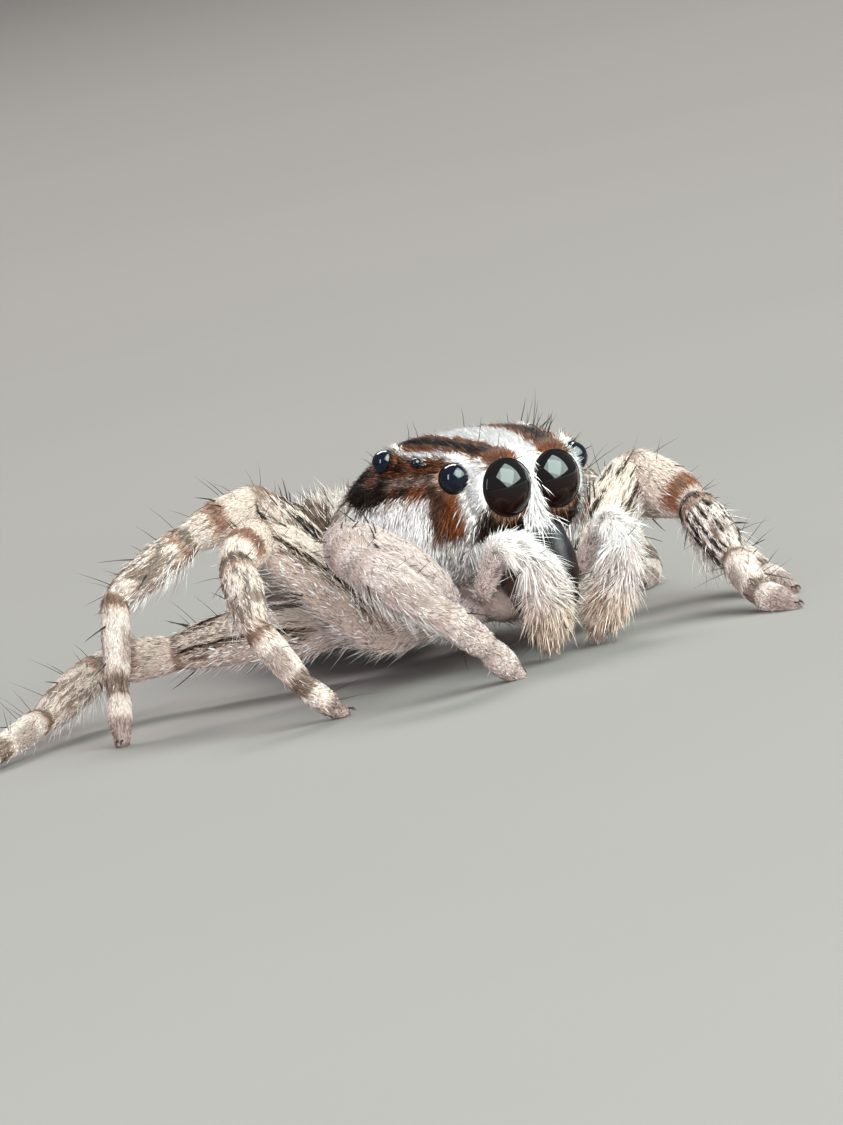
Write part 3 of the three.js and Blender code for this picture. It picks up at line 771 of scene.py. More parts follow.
class Bench:
    """One material's node tree while it is built."""

    def __init__(self, name: str) -> None:
        """Starts an empty material.

        Args:
            name: The material's name.
        """
        self.material = bpy.data.materials.new(name)
        self.material.use_nodes = True
        self.tree = self.material.node_tree
        self.tree.nodes.clear()

    @staticmethod
    def socket(sockets: bpy.types.bpy_prop_collection, key: str | int) -> bpy.types.NodeSocket:
        """One of a node's sockets.

        Args:
            sockets: Its inputs or its outputs.
            key: The socket's number, identifier or name.

        Returns:
            The socket.
        """
        if isinstance(key, int):
            return sockets[key]
        for one in sockets:
            if one.identifier == key:
                return one
        return sockets[key]

    def node(self, kind: str, settings: dict, values: dict, output: str | int = 0) -> Wire:
        """Adds one node.

        Args:
            kind: The node's type.
            settings: Its own settings, which are set first.
            values: A number, a colour, a vector or a wire for each socket.
            output: Which of its outputs is wanted.

        Returns:
            That output.
        """
        made = self.tree.nodes.new(kind)
        for name, value in settings.items():
            setattr(made, name, value)
        for key, value in values.items():
            socket = self.socket(made.inputs, key)
            if isinstance(value, Wire):
                self.tree.links.new(value.socket, socket)
            elif socket.type == "RGBA":
                socket.default_value = (*value, 1.0)
            else:
                socket.default_value = value
        return Wire(self, self.socket(made.outputs, output))

    def mixed(self, share: object, first: object, second: object) -> Wire:
        """Two colours mixed, all second where share is one."""
        values = {"Factor_Float": share, "A_Color": first, "B_Color": second}
        return self.node("ShaderNodeMix", {"data_type": "RGBA"}, values, "Result_Color")

    def noise(self, scale: float, detail: float = 3.0) -> Wire:
        """Noise from 0 to 1 over the object's own metres."""
        values = {"Scale": scale, "Detail": detail, "Roughness": 0.55, "Vector": self.place()}
        return self.node("ShaderNodeTexNoise", {"noise_dimensions": "3D"}, values, "Fac")

    def place(self) -> Wire:
        """The place on the object, in its own metres."""
        return self.node("ShaderNodeTexCoord", {}, {}, "Object")

    def stepped(self, value: Wire, low: float, high: float) -> Wire:
        """A value brought from the span low to high to 0 to 1, held at both ends."""
        settings = {"interpolation_type": "SMOOTHSTEP", "clamp": True}
        return self.node("ShaderNodeMapRange", settings, {"Value": value, "From Min": low, "From Max": high})

    def bumped(self, height: Wire, distance: float) -> Wire:
        """A normal from a height, with the bump's depth in metres."""
        return self.node("ShaderNodeBump", {}, {"Strength": 1.0, "Distance": distance, "Height": height})

    def carried(self, name: str, output: str = "Color") -> Wire:
        """What the mesh carries under a name."""
        return self.node("ShaderNodeAttribute", {"attribute_name": name}, {}, output)

    def parts(self, name: str) -> tuple[Wire, Wire, Wire]:
        """The three numbers that the mesh carries under a name."""
        split = self.node("ShaderNodeSeparateColor", {}, {"Color": self.carried(name)}, "Red")
        red, green, blue = (Wire(self, socket) for socket in split.socket.node.outputs)
        return red, green, blue

    def marked(self, plain: Wire, rust: object, white: object, black: object) -> Wire:
        """The mesh's markings laid over a plain colour.

        Args:
            plain: The colour where there is no marking.
            rust: The rusty colour.
            white: The white.
            black: The black, which lies over the rest.

        Returns:
            The colour.
        """
        most_white, most_rust, most_black = self.parts("marks")
        colour = self.mixed(most_rust, plain, rust)
        colour = self.mixed(most_white, colour, white)
        return self.mixed(most_black, colour, black)

    def finish(self, values: dict) -> bpy.types.Material:
        """Ends the tree in one Principled shader.

        Args:
            values: A number, a colour or a wire for each of its sockets that is set.

        Returns:
            The material.
        """
        shader = self.node("ShaderNodeBsdfPrincipled", {}, values)
        end = self.tree.nodes.new("ShaderNodeOutputMaterial")
        self.tree.links.new(shader.socket, end.inputs["Surface"])
        return self.material


@dataclass(frozen=True)
class Finish:
    """What a piece is dressed in."""

    name: str

    def material(self) -> bpy.types.Material:
        """The finish as a material."""
        raise NotImplementedError

    def dress(self, thing: bpy.types.Object) -> None:
        """Puts the finish on an object, made once for all that share it."""
        thing.data.materials.append(bpy.data.materials.get(self.name) or self.material())


@dataclass(frozen=True)
class Coat(Finish):
    """Hair that takes its colour from its markings, with each strand a little different."""

    buff: Triple = (0.68, 0.46, 0.31)
    buff_pale: Triple = (0.86, 0.71, 0.56)
    white: Triple = (0.93, 0.93, 0.935)
    white_dim: Triple = (0.80, 0.79, 0.78)
    rust: Triple = (0.13, 0.028, 0.008)
    rust_pale: Triple = (0.30, 0.085, 0.022)
    black: Triple = (0.008, 0.005, 0.004)
    lilac: Triple = (0.52, 0.42, 0.43)
    tip: Triple = (0.9, 0.88, 0.86)
    # A dark brown laid over each hair's root as painted shade, where the hairs shade one another.
    foot: Triple = (0.12, 0.07, 0.05)
    tip_share: float = 0.16
    root_shade_share: float = 0.2

    def material(self) -> bpy.types.Material:
        """Hair, paler towards its tip and with painted shade at its root, where the hairs shade one another.

        Returns:
            The material.
        """
        bench = Bench(self.name)
        tone, share, _ = bench.parts("strand")
        plain = bench.mixed(tone, self.buff, self.buff_pale)
        plain = bench.mixed(bench.carried("marks", "Alpha"), plain, self.lilac)
        plain = bench.mixed(self.tip_share * share, plain, self.tip)
        rust = bench.mixed(tone, self.rust, self.rust_pale)
        white = bench.mixed(tone, self.white_dim, self.white)
        colour = bench.marked(plain, rust, white, self.black)
        # Painted shade: each hair darkens towards its root.
        painted_root_shade = self.root_shade_share * (1 - bench.stepped(share, 0.0, 0.5))
        colour = bench.mixed(painted_root_shade, colour, self.foot)
        gloss = {"Roughness": 0.45, "IOR": 1.45, "Specular IOR Level": 0.15}
        return bench.finish({"Base Color": colour, **gloss})


@dataclass(frozen=True)
class Skin(Finish):
    """Bare skin under the hair, with the same markings, fine pits and a little light let through."""

    buff: Triple = (0.46, 0.34, 0.25)
    white: Triple = (0.68, 0.64, 0.60)
    rust: Triple = (0.10, 0.025, 0.009)
    black: Triple = (0.008, 0.005, 0.004)
    lilac: Triple = (0.49, 0.38, 0.37)
    dirt: Triple = (0.16, 0.10, 0.075)
    mottle_scale: float = 9000.0
    pit_scale: float = 26000.0
    grain_scale: float = 60000.0
    grain: float = 1.2e-5

    def material(self) -> bpy.types.Material:
        """Matt skin with a scaly bump and wandering tone.

        Returns:
            The material.
        """
        bench = Bench(self.name)
        plain = bench.mixed(bench.carried("marks", "Alpha"), self.buff, self.lilac)
        colour = bench.marked(plain, self.rust, self.white, self.black)
        mottle = bench.stepped(bench.noise(self.mottle_scale, 4.0), 0.35, 0.7)
        cells = {"Scale": self.pit_scale, "Vector": bench.place()}
        pits = bench.node("ShaderNodeTexVoronoi", {"feature": "F1"}, cells, "Distance")
        return bench.finish(
            {
                "Base Color": bench.mixed(0.35 * mottle, colour, self.dirt),
                "Roughness": 0.45 + 0.2 * mottle,
                "Normal": bench.bumped(pits + 0.5 * bench.noise(self.grain_scale), self.grain),
                "Subsurface Weight": 0.18,
                "Subsurface Radius": (1.0, 0.5, 0.35),
                "Subsurface Scale": 6e-5,
            }
        )


@dataclass(frozen=True)
class Lens(Finish):
    """The clear, polished front of an eye over a black depth, brightest above its middle."""

    depth: Triple = (0.004, 0.003, 0.003)
    glow: Triple = (0.007, 0.0016, 0.001)
    cloud_scale: float = 2500.0
    smear_scale: float = 12000.0

    def material(self) -> bpy.types.Material:
        """Black glass with a faint glow in its lower half and its polish in the upper.

        Returns:
            The material.
        """
        bench = Bench(self.name)
        height = bench.parts("strand")[0]
        upper = bench.stepped(height + 0.1 * bench.noise(self.cloud_scale, 2.0), 0.2, 0.7)
        return bench.finish(
            {
                "Base Color": bench.mixed(upper, self.glow, self.depth),
                "Roughness": 0.05 + 0.03 * bench.noise(self.smear_scale, 2.0),
                "IOR": 1.4,
                "Specular IOR Level": 0.3,
                "Coat Weight": 0.03 + 0.97 * bench.stepped(height, 0.5, 0.57),
                "Coat Roughness": 0.03,
                "Coat IOR": 1.65,
            }
        )


@dataclass(frozen=True)
class Horn(Finish):
    """Hard shell: jaws, fangs, claws, eye rims and bristles."""

    dark: Triple
    warm: Triple
    roughness: float
    polish: float = 0.0
    gloss: float = 0.5
    patch_scale: float = 3500.0
    wrinkle_scale: float = 42000.0
    grain: float = 6e-6

    def material(self) -> bpy.types.Material:
        """Dark shell with warmer patches and fine wrinkles.

        Returns:
            The material.
        """
        bench = Bench(self.name)
        patches = bench.stepped(bench.noise(self.patch_scale), 0.45, 0.72)
        wrinkles = bench.noise(self.wrinkle_scale, 4.0)
        return bench.finish(
            {
                "Base Color": bench.mixed(patches, self.dark, self.warm),
                "Roughness": self.roughness + 0.14 * wrinkles,
                "Normal": bench.bumped(wrinkles, self.grain),
                "IOR": 1.54,
                "Specular IOR Level": self.gloss,
                "Coat Weight": self.polish,
            }
        )


@dataclass(frozen=True)
class Ground(Finish):
    """A plain pale studio floor."""

    tone: Triple = (0.275, 0.25, 0.24)
    shaded: float = 0.94
    cloud_scale: float = 60.0

    def material(self) -> bpy.types.Material:
        """Matt paper with a hardly visible tone.

        Returns:
            The material.
        """
        bench = Bench(self.name)
        cloud = bench.noise(self.cloud_scale, 2.0)
        colour = bench.mixed(cloud, self.tone, tuple(self.shaded * part for part in self.tone))
        return bench.finish({"Base Color": colour, "Roughness": 0.75 + 0.1 * cloud})


COAT = Coat("coat")
SKIN = Skin("skin")
BIG_LENS = Lens("lens_big")
SIDE_LENS = Lens("lens_side", depth=(0.003, 0.005, 0.011), glow=(0.005, 0.006, 0.011))
HORN = Horn("horn", dark=(0.008, 0.008, 0.013), warm=(0.035, 0.014, 0.009), roughness=0.36)
RIM = Horn("eye_rim", dark=(0.004, 0.003, 0.003), warm=(0.012, 0.005, 0.003), roughness=0.6, gloss=0.12)
BRISTLE = Horn("bristle", dark=(0.010, 0.007, 0.006), warm=(0.05, 0.024, 0.014), roughness=0.35, polish=0.2)


# ---- Eyes -------------------------------------------------------------------------------------------------


@dataclass(frozen=True)
class Eye:
    """One eye of the left side in the body frame: its place, lens and rim, and the hairs round it."""

    name: str
    centre: Triple
    radius: float
    looks: Triple
    dome: float
    forward: float
    collar: float
    lens: Lens
    fringe: int

    def axis(self, side: Side) -> Array:
        """The direction it looks in, in the body frame."""
        return unit(side.mirrored(self.looks))

    def rim_middle(self, side: Side) -> Array:
        """The middle of its rim in the body frame."""
        return side.mirrored(self.centre) + self.axis(side) * self.forward

    def round_about(self, side: Side, angles: Array) -> Array:
        """Directions away from its axis in the body frame.

        Args:
            side: Which of the two eyes.
            angles: Turns about the axis.

        Returns:
            One direction for each angle.
        """
        across = unit(np.cross(self.axis(side), UP))
        lift = np.cross(across, self.axis(side))
        return np.cos(angles)[:, None] * across + np.sin(angles)[:, None] * lift

    def off_axis(self, side: Side, points: Array) -> tuple[Array, Array]:
        """Where points lie from the middle of the rim.

        Args:
            side: Which of the two eyes.
            points: Points in the body frame.

        Returns:
            Their distance from the axis, and their height along it.
        """
        away = points - self.rim_middle(side)
        height = away @ self.axis(side)
        return np.linalg.norm(away - height[..., None] * self.axis(side), axis=-1), height


EYES = (
    Eye("front_middle", (0.355, 0.0, 0.0), 0.33, (0.03, -1.0, 0.0), 0.17, 0.13, 0.14, BIG_LENS, 1500),
    Eye("front_side", (0.88, 0.2, 0.19), 0.178, (0.42, -0.9, 0.08), 0.14, 0.03, 0.10, SIDE_LENS, 900),
    Eye("small", (1.03, 0.7, 0.42), 0.065, (0.75, -0.35, 0.55), 0.055, 0.0, 0.05, SIDE_LENS, 260),
    Eye("rear", (1.08, 1.25, 0.46), 0.15, (0.86, 0.12, 0.42), 0.125, 0.01, 0.08, SIDE_LENS, 520),
)
BIG_EYE, SIDE_EYE, SMALL_EYE, REAR_EYE = EYES


@dataclass
class Eyes:
    """The eight eyes, each a polished lens in a dark rim."""

    around: int = 72
    lens_rings: int = 22
    lip: float = 0.05

    def lens_profile(self, eye: Eye) -> list[tuple[float, float]]:
        """The lens from its tip to just behind its rim.

        Args:
            eye: Which kind of eye.

        Returns:
            Pairs of the distance from the axis and the height over the rim.
        """
        ball = (eye.radius**2 + eye.dome**2) / (2 * eye.dome)
        edge = math.asin(min(1.0, eye.radius / ball))
        angles = [edge * i / self.lens_rings for i in range(self.lens_rings + 1)]
        dome = [(ball * math.sin(a), eye.dome - ball + ball * math.cos(a)) for a in angles]
        return [*dome, (eye.radius * 0.995, -0.012), (eye.radius * 0.95, -0.05), (0.0, -0.06)]

    def rim_profile(self, eye: Eye) -> list[tuple[float, float]]:
        """The dark rim round the lens, back into the head.

        Args:
            eye: Which kind of eye.

        Returns:
            Pairs of the distance from the axis and the height over the rim.
        """
        radius, deep, lip = eye.radius, eye.collar, self.lip * eye.radius
        return [
            (radius * 0.93, -0.03),
            (radius * 0.985, -0.002),
            (radius + lip * 0.35, 0.006),
            (radius + lip * 0.85, -0.012),
            (radius + lip, -0.035),
            (radius + lip * 0.8, -deep * 0.6),
            (radius * 0.95, -deep * 1.2),
            (0.0, -deep * 1.2),
        ]

    def spun(self, profile: list[tuple[float, float]], eye: Eye, side: Side) -> Sheet:
        """A profile turned about the eye's axis.

        Args:
            profile: Pairs of the distance from the axis and the height over the rim.
            eye: Which kind of eye.
            side: Which of the two.

        Returns:
            A sheet whose strands carry how far up the eye each point lies, 0.5 at its middle.
        """
        ring = eye.round_about(side, np.arange(self.around) / self.around * math.tau)
        middle, axis = eye.rim_middle(side), eye.axis(side)
        grid = BODY.points(np.array([middle + ring * max(size, 1e-4) + axis * up for size, up in profile]))
        sheet = tube_sheet(Surface(grid, grid))
        above = sheet.points[:, 2] - BODY.points(middle)[2]
        sheet.strand[:, 0] = 0.5 + 0.5 * above / eye.radius
        return sheet

    def build(self) -> None:
        """Makes all eight lenses and rims."""
        for side in Side:
            for eye in EYES:
                name = f"{eye.name}_{side.word}"
                lens = self.spun(self.lens_profile(eye), eye, side)
                lens.piece(f"lens_{name}", eye.lens, "eye", [f"eye_{name}"])
                self.spun(self.rim_profile(eye), eye, side).piece(f"rim_{name}", RIM, "eye")


# ---- Markings ---------------------------------------------------------------------------------------------
# A marking is four shares: white, rusty, black and, where none of them covers it, grey-pink instead of buff.

Mark = tuple[float, float, float, float]

WHITE: Mark = (1.0, 0.0, 0.0, 0.0)
CREAM: Mark = (0.45, 0.0, 0.0, 0.0)
RUST: Mark = (0.0, 1.0, 0.0, 0.0)
BROWN: Mark = (0.0, 0.8, 0.6, 0.0)
BLACK: Mark = (0.0, 0.2, 1.0, 0.0)
LILAC: Mark = (0.1, 0.0, 0.0, 1.0)
PEACH: Mark = (0.14, 0.05, 0.0, 0.0)

# How far from the middle plane a dark stripe of the head begins and ends, at places along the head.
STRIPE_INNER = (
    (-0.2, 0.2), (0.0, 0.21), (0.3, 0.25), (0.6, 0.32), (0.9, 0.37),
    (1.6, 0.34), (2.4, 0.25), (3.2, 0.2),
)
STRIPE_OUTER = ((-0.2, 0.5), (0.0, 0.58), (0.3, 0.76), (0.8, 0.89), (1.1, 0.91), (1.6, 0.92), (2.4, 1.05))


def over(under: Array, share: Array, mark: Sequence[float]) -> Array:
    """Lays one marking over others where its share is high."""
    share = np.clip(share, 0.0, 1.0)[..., None]
    return under * (1 - share) + np.asarray(mark, dtype=float) * share


def painted(where: Array, plain: Mark, *layers: tuple[Array, Mark]) -> Array:
    """Markings laid over one another.

    Args:
        where: The places that they are read at.
        plain: The marking under all the others.
        layers: For each other marking, its share at each place and the marking, the lowest first.

    Returns:
        The four shares at each place.
    """
    marks = np.zeros((*where.shape[:-1], 4)) + np.array(plain)
    for share, mark in layers:
        marks = over(marks, share, mark)
    return marks


def speckled(marks: Array, chance: float, mark: Mark, rng: Chance) -> Array:
    """Gives single hairs another marking by chance.

    Args:
        marks: The hairs' markings.
        chance: How likely a hair is to change.
        mark: What it changes to.
        rng: The source of chance.

    Returns:
        The new markings.
    """
    hit = rng.random(len(marks)) < chance
    changed = marks.copy()
    changed[hit] = mark
    return changed


def head_marks(where: Array) -> Array:
    """The head's and the chest's markings.

    Args:
        where: Places in the body frame.

    Returns:
        The marking at each place.
    """
    ragged = waves(where, 0.12, 3) * 0.025
    blotch = waves(where * np.array([1.6, 0.7, 1.6]), 0.09, 5)
    flat_x, y, z = folded(where)
    x = flat_x + ragged
    front = ramp(y, 0.3, 0.12)
    # The sides: a rusty flank speckled with black over a long white cheek.
    flank = band(z, 0.02, 0.42, 0.04) * band(y, 0.22, 1.7, 0.05)
    sides = (
        (ramp(y, 2.1, 1.7), WHITE),
        (flank, RUST),
        (flank * ramp(blotch, 0.1, 0.35), BLACK),
    )
    # The top: a white stripe down the middle between two dark ones, and a white line over the side eyes.
    crest = by(y, (1.5, 0.3), (2.1, 0.06), (2.5, -0.3), (3.0, -0.75))
    top = ramp(z, crest - 0.18, crest) * ramp(y, 3.1, 2.7)
    inner = by(y, *STRIPE_INNER)
    outer = by(y, *STRIPE_OUTER)
    brow = outer + by(y, (-0.2, 0.14), (0.5, 0.09), (1.0, 0.07), (1.35, 0.03))
    stripe = band(x, inner, outer, 0.02) * top
    middle = (inner + outer) / 2
    core = band(x, middle - 0.12 - 0.04 * blotch, middle + 0.14 + 0.04 * blotch, 0.035)
    below_brow = ramp(x, brow - 0.02, brow + 0.03) * top * band(y, 0.2, 1.8, 0.04)
    stripes = (
        (top, WHITE),
        (stripe, RUST),
        (stripe * core * band(y, 0.0, 2.7, 0.1), BLACK),
        (below_brow, RUST),
        (below_brow * ramp(blotch, -0.05, 0.2), BLACK),
    )
    # Dark behind and below the rear eye, with a rusty patch under it.
    outside = ramp(x, 0.8, 0.95)
    hollow = ramp(np.hypot((y - 1.5) / 0.42, (z - 0.16) / 0.2), 1.15, 0.85) * outside
    ember = ramp(np.hypot((y - 1.38) / 0.13, (z - 0.24) / 0.06), 1.2, 0.8) * outside
    # White over the side eyes, and on the inner side of the front ones.
    inner_side = ramp(x, 0.86, 0.78) * front
    hems = []
    for eye, width, beside in ((SIDE_EYE, 0.11, inner_side), (SMALL_EYE, 0.05, 0.0), (REAR_EYE, 0.07, 0.0)):
        gap = np.linalg.norm(np.stack([flat_x, y, z], axis=-1) - eye.centre, axis=-1)
        upper = ramp(z, eye.centre[2] + 0.06, eye.centre[2] + 0.14) * ramp(y, 0.45, 0.55)
        near = ramp(gap, eye.radius + width, eye.radius + width * 0.6)
        hems.append((np.maximum(upper, beside) * near, WHITE))
    # The brown patch under the side front eye, rusty at its front edge.
    patch = band(y, 0.12, 0.5, 0.04) * band(z, -0.45, 0.1, 0.05) * ramp(x, 0.7, 0.8)
    front_edge = band(y, 0.13, 0.27, 0.04) * band(z, -0.42, 0.02, 0.05) * ramp(x, 0.7, 0.78)
    # Round the big eyes: rusty above, thin orange below, dark under both, white between.
    across, above = flat_x - BIG_EYE.centre[0], z - BIG_EYE.centre[2]
    ring = np.hypot(across, above)
    off_middle = ramp(x, 0.06, 0.12)
    over_eye = band(ring, 0.3, 0.365, 0.015) * ramp(above, 0.2, 0.27) * ramp(x, 0.26, 0.32) * front
    lip = band(z, -0.58, by(x, (0.5, -0.27), (0.62, -0.17)), 0.03) * ramp(x, 0.74, 0.68) * off_middle * front
    under_eye = band(ring, 0.3, 0.345, 0.012) * ramp(above, -0.2, -0.27) * off_middle * front
    # The chest's slopes are dark brown with a pale hem, and its underside is grey-buff.
    slope = ramp(y, 1.7, 2.3) * band(z, -0.85, 0.7, 0.08) * ramp(x, inner + 0.02, inner + 0.1)
    return painted(
        where,
        CREAM,
        *sides,
        *stripes,
        (hollow, BLACK),
        (ember, RUST),
        *hems,
        (patch, (0.0, 0.8, 0.7, 0.0)),
        (front_edge, RUST),
        (over_eye, (0.0, 0.85, 0.6, 0.0)),
        (lip, (0.0, 0.4, 0.97, 0.0)),
        (under_eye, (0.0, 0.9, 0.1, 0.0)),
        (slope * (0.35 + 0.45 * ramp(blotch, -0.2, 0.4)), BROWN),
        (slope * ramp(blotch, 0.3, 0.6) * 0.6, BLACK),
        (ramp(y, 2.6, 3.0) * ramp(x, inner, inner + 0.1) * 0.6, BROWN),
        (ramp(z, -0.95, -1.2) * 0.8, (0.1, 0.15, 0.25, 0.6)),
    )


def belly_marks(where: Array) -> Array:
    """The abdomen's markings.

    Args:
        where: Places in the abdomen's own frame.

    Returns:
        The marking at each place.
    """
    ragged = waves(where, 0.2, 11) * 0.05
    blotch = waves(where * np.array([1.4, 0.8, 1.4]), 0.14, 13)
    x, y, z = folded(where)
    x = x + ragged
    top = ramp(z, 0.0, 0.3)
    half = by(y, (0.0, 0.22), (0.7, 0.2), (1.4, 0.3), (2.1, 0.34), (2.6, 0.22), (3.3, 0.12))
    flank = band(x, half, half + 0.42, 0.04) * top * band(y, 0.15, 3.3, 0.1)
    slant = np.mod(y + 0.35 * x, 0.42)
    bars = band(slant, 0.0, 0.1, 0.03) * ramp(x, half + 0.1, half) * top * ramp(y, 1.4, 1.8)
    return painted(
        where,
        (0.12, 0.1, 0.08, 0.45),
        (flank * 0.8, (0.0, 0.65, 0.4, 0.0)),
        (flank * ramp(blotch, 0.1, 0.45) * 0.8, BLACK),
        (ramp(x, half + 0.02, half - 0.04) * top, (0.5, 0.05, 0.0, 0.1)),
        (ramp(np.hypot(x - 0.5, (y - 2.35) / 0.8), 0.17, 0.1) * top, WHITE),
        (bars * 0.45, (0.0, 0.6, 0.35, 0.0)),
        (band(z, -0.5, 0.1, 0.15) * ramp(blotch, 0.15, 0.5) * 0.5, (0.0, 0.5, 0.5, 0.1)),
    )


def leg_marks(where: Array, seed: int, forward: float, shade: float, knee: float, mauve: float) -> Array:
    """A leg's markings.

    Args:
        where: Lengths passed, then how far the skin faces up, sideways and towards the leg's own back.
        seed: Makes each leg a little different.
        forward: How much of the knee and shin pattern is dark, 0 to 1.
        shade: How strong all its markings are, 0 to 1.
        knee: Where the rusty patch of the knee starts.
        mauve: How much of its plain hair is grey-pink, 0 to 1.

    Returns:
        The markings.
    """
    at, up, side, back = (where[..., i] for i in range(4))
    angle = np.stack([at * 2.2, up * 0.5, side * 0.5], axis=-1)
    blotch = waves(angle * np.array([0.6, 1.6, 1.6]), 0.22, seed + 1)
    streak = waves(angle * np.array([0.35, 2.6, 2.6]), 0.2, seed + 2)
    at = at + waves(angle, 0.16, seed) * 0.022
    plain = (
        (ramp(at, 2.0, 1.0) * mauve * (1 - ramp(up, 0.1, 0.6)), LILAC),
        (ramp(at, 2.4, 3.0) * 0.35, (0.1, 0.12, 0.0, 0.6)),
    )
    # Pale and black lines along the thigh's upper flank, and a row of dark spots under them.
    thigh = band(at, 0.15, 0.95, 0.04)
    low_spots = band(at, 0.78, 0.9, 0.03) * band(back, -0.6, -0.3, 0.08)
    upper_leg = (
        (thigh * ramp(back, -0.4, -0.1) * 0.7, (0.4, 0.03, 0.0, 0.05)),
        (thigh * band(back, -0.02, 0.22, 0.04), BLACK),
        (thigh * band(back, -0.24, -0.14, 0.03) * ramp(blotch, -0.5, -0.1), BLACK),
        (thigh * band(back, 0.4, 0.48, 0.03) * 0.8, BLACK),
        (thigh * ramp(back, 0.75, 0.9) * ramp(streak, 0.1, 0.4), BLACK),
        (thigh * band(back, -0.45, -0.3, 0.05) * ramp(blotch, 0.5, 0.65), (0.0, 0.3, 0.9, 0.0)),
        (low_spots * ramp(blotch, -0.3, 0.0), BROWN),
        (band(at, 0.95, 1.03, 0.02) * 0.6, BROWN),
    )
    # A rusty patch on the knee, with a darker middle, between two rings.
    patch = band(at, knee, knee + 0.26, 0.04) * ramp(up, -0.7, -0.2)
    core = band(at, knee + 0.07, knee + 0.17, 0.03) * ramp(blotch, -0.1, 0.3) * ramp(up, -0.2, 0.2)
    at_knee = (
        (band(at, 1.04, 1.97, 0.03) * 0.6, (0.3, 0.08, 0.0, 0.1)),
        (patch * (0.68 + 0.25 * forward), RUST),
        (core, BROWN),
        (band(at, 1.86, 1.97, 0.02) * 0.8 * (1 - forward), WHITE),
        (band(at, 2.05, 2.15, 0.02) * (0.65 + 0.3 * forward), BLACK),
        (band(at, 2.16, 2.24, 0.02) * 0.75, RUST),
    )
    # Dark streaks on a pale shin, then dark and pale rings down to the tip.
    shin = band(at, 2.26, 2.97, 0.03)
    lower_leg = (
        (shin * 0.5 * forward, WHITE),
        (shin * ramp(streak, 0.08, 0.28) * (0.3 + 0.7 * forward), BLACK),
        (band(at, 2.62, 2.8, 0.05) * ramp(blotch, -0.2, 0.3) * 0.75, (0.0, 0.45, 0.6, 0.3)),
        (band(at, 3.0, 3.12, 0.03) * 0.9, (0.0, 0.8, 0.5, 0.0)),
        (band(at, 3.2, 3.8, 0.06) * 0.55, (0.7, 0.03, 0.0, 0.2)),
        (band(at, 3.35, 3.75, 0.05) * ramp(np.abs(side), 0.5, 0.8) * 0.55, (0.0, 0.4, 0.5, 0.5)),
        (band(at, 3.84, 4.12, 0.04) * (0.6 + 0.35 * ramp(streak, -0.1, 0.2)), (0.0, 0.45, 0.8, 0.2)),
        (band(at, 4.18, 4.5, 0.05) * 0.5, (0.7, 0.03, 0.0, 0.3)),
        (ramp(at, 4.5, 4.62) * (0.55 + 0.4 * ramp(streak, 0.0, 0.3)), (0.0, 0.3, 0.5, 0.8)),
    )
    base = (0.16, 0.02, 0.0, mauve)
    marks = painted(where, base, *plain, *upper_leg, *at_knee, *lower_leg)
    return painted(where, base, *plain) * (1 - shade) + marks * shade


def palp_marks(where: Array, seed: int) -> Array:
    """A palp's markings: pale and bushy above, grey-lilac in the middle, peach below.

    Args:
        where: Lengths passed, then how far the skin faces up and sideways.
        seed: Makes each palp a little different.

    Returns:
        The markings.
    """
    at, up, side = (where[..., i] for i in range(3))
    blotch = waves(np.stack([at, up * 0.6, side * 0.6], axis=-1), 0.2, seed)
    return painted(
        where,
        (0.2, 0.0, 0.0, 0.7),
        (band(at, 0.75, 2.35, 0.15) * (0.55 + 0.3 * ramp(up, -0.2, 0.5)), WHITE),
        (ramp(at, 2.35, 2.7) * 0.6, LILAC),
        (ramp(at, 2.95, 3.25) * 0.95, PEACH),
        (ramp(blotch, 0.65, 0.85) * 0.6, (0.0, 0.3, 0.8, 0.2)),
    )


# ---- Head -------------------------------------------------------------------------------------------------

CURVED = ((0.0, 0.8), (0.3, 1.0), (0.7, 0.7))
TAPERED = ((0.0, 1.0), (0.4, 0.8), (0.75, 0.5))
LONG = ((0.0, 0.9), (0.5, 0.8))
SCALE = Cut(length=0.105, width=0.015, lean=12, stray=12, bend=-0.02, sink=0.004)
FACE_HAIR = Cut(length=0.105, width=0.014, lean=12, stray=12, bend=-0.03, sink=0.004)
CHEEK_HAIR = Cut(length=0.23, width=0.015, lean=17, stray=9, bend=-0.08, droop=0.14, rings=CURVED, sink=0.01)
BEARD = Cut(length=0.3, width=0.014, lean=42, stray=14, bend=-0.3, droop=0.2, rings=CURVED)
BETWEEN_EYES = Cut(length=0.2, width=0.013, lean=34, stray=13, bend=-0.3, rings=CURVED)
RIM_HAIR = Cut(length=0.07, width=0.012, lean=14, stray=13, bend=-0.1, sink=0.006)
LIP_BRISTLE = Cut(length=0.34, width=0.012, lean=38, stray=14, bend=-0.5, uneven=0.2, rings=CURVED)
LASH = Cut(length=0.34, width=0.011, lean=66, stray=13, bend=0.25, uneven=0.2, rings=CURVED)


@dataclass(frozen=True)
class Plate:
    """A rounded plate under the chest: its centre and half sizes in the body frame."""

    centre: Triple
    half: Triple
    rings: int = 26
    sides: int = 30
    pole: float = 0.02

    def surface(self) -> Surface:
        """Draws the plate as a squashed ball.

        Returns:
            Its surface, in the model's millimetres.
        """
        tilt = np.linspace(self.pole, math.pi - self.pole, self.rings)[:, None]
        turn = np.linspace(0, math.tau, self.sides, endpoint=False)[None, :]
        ball = (np.sin(tilt) * np.cos(turn), -np.cos(tilt), np.sin(tilt) * np.sin(turn))
        grid = np.asarray(self.centre) + np.stack(np.broadcast_arrays(*ball), axis=-1) * np.asarray(self.half)
        return Surface(BODY.points(grid), grid)


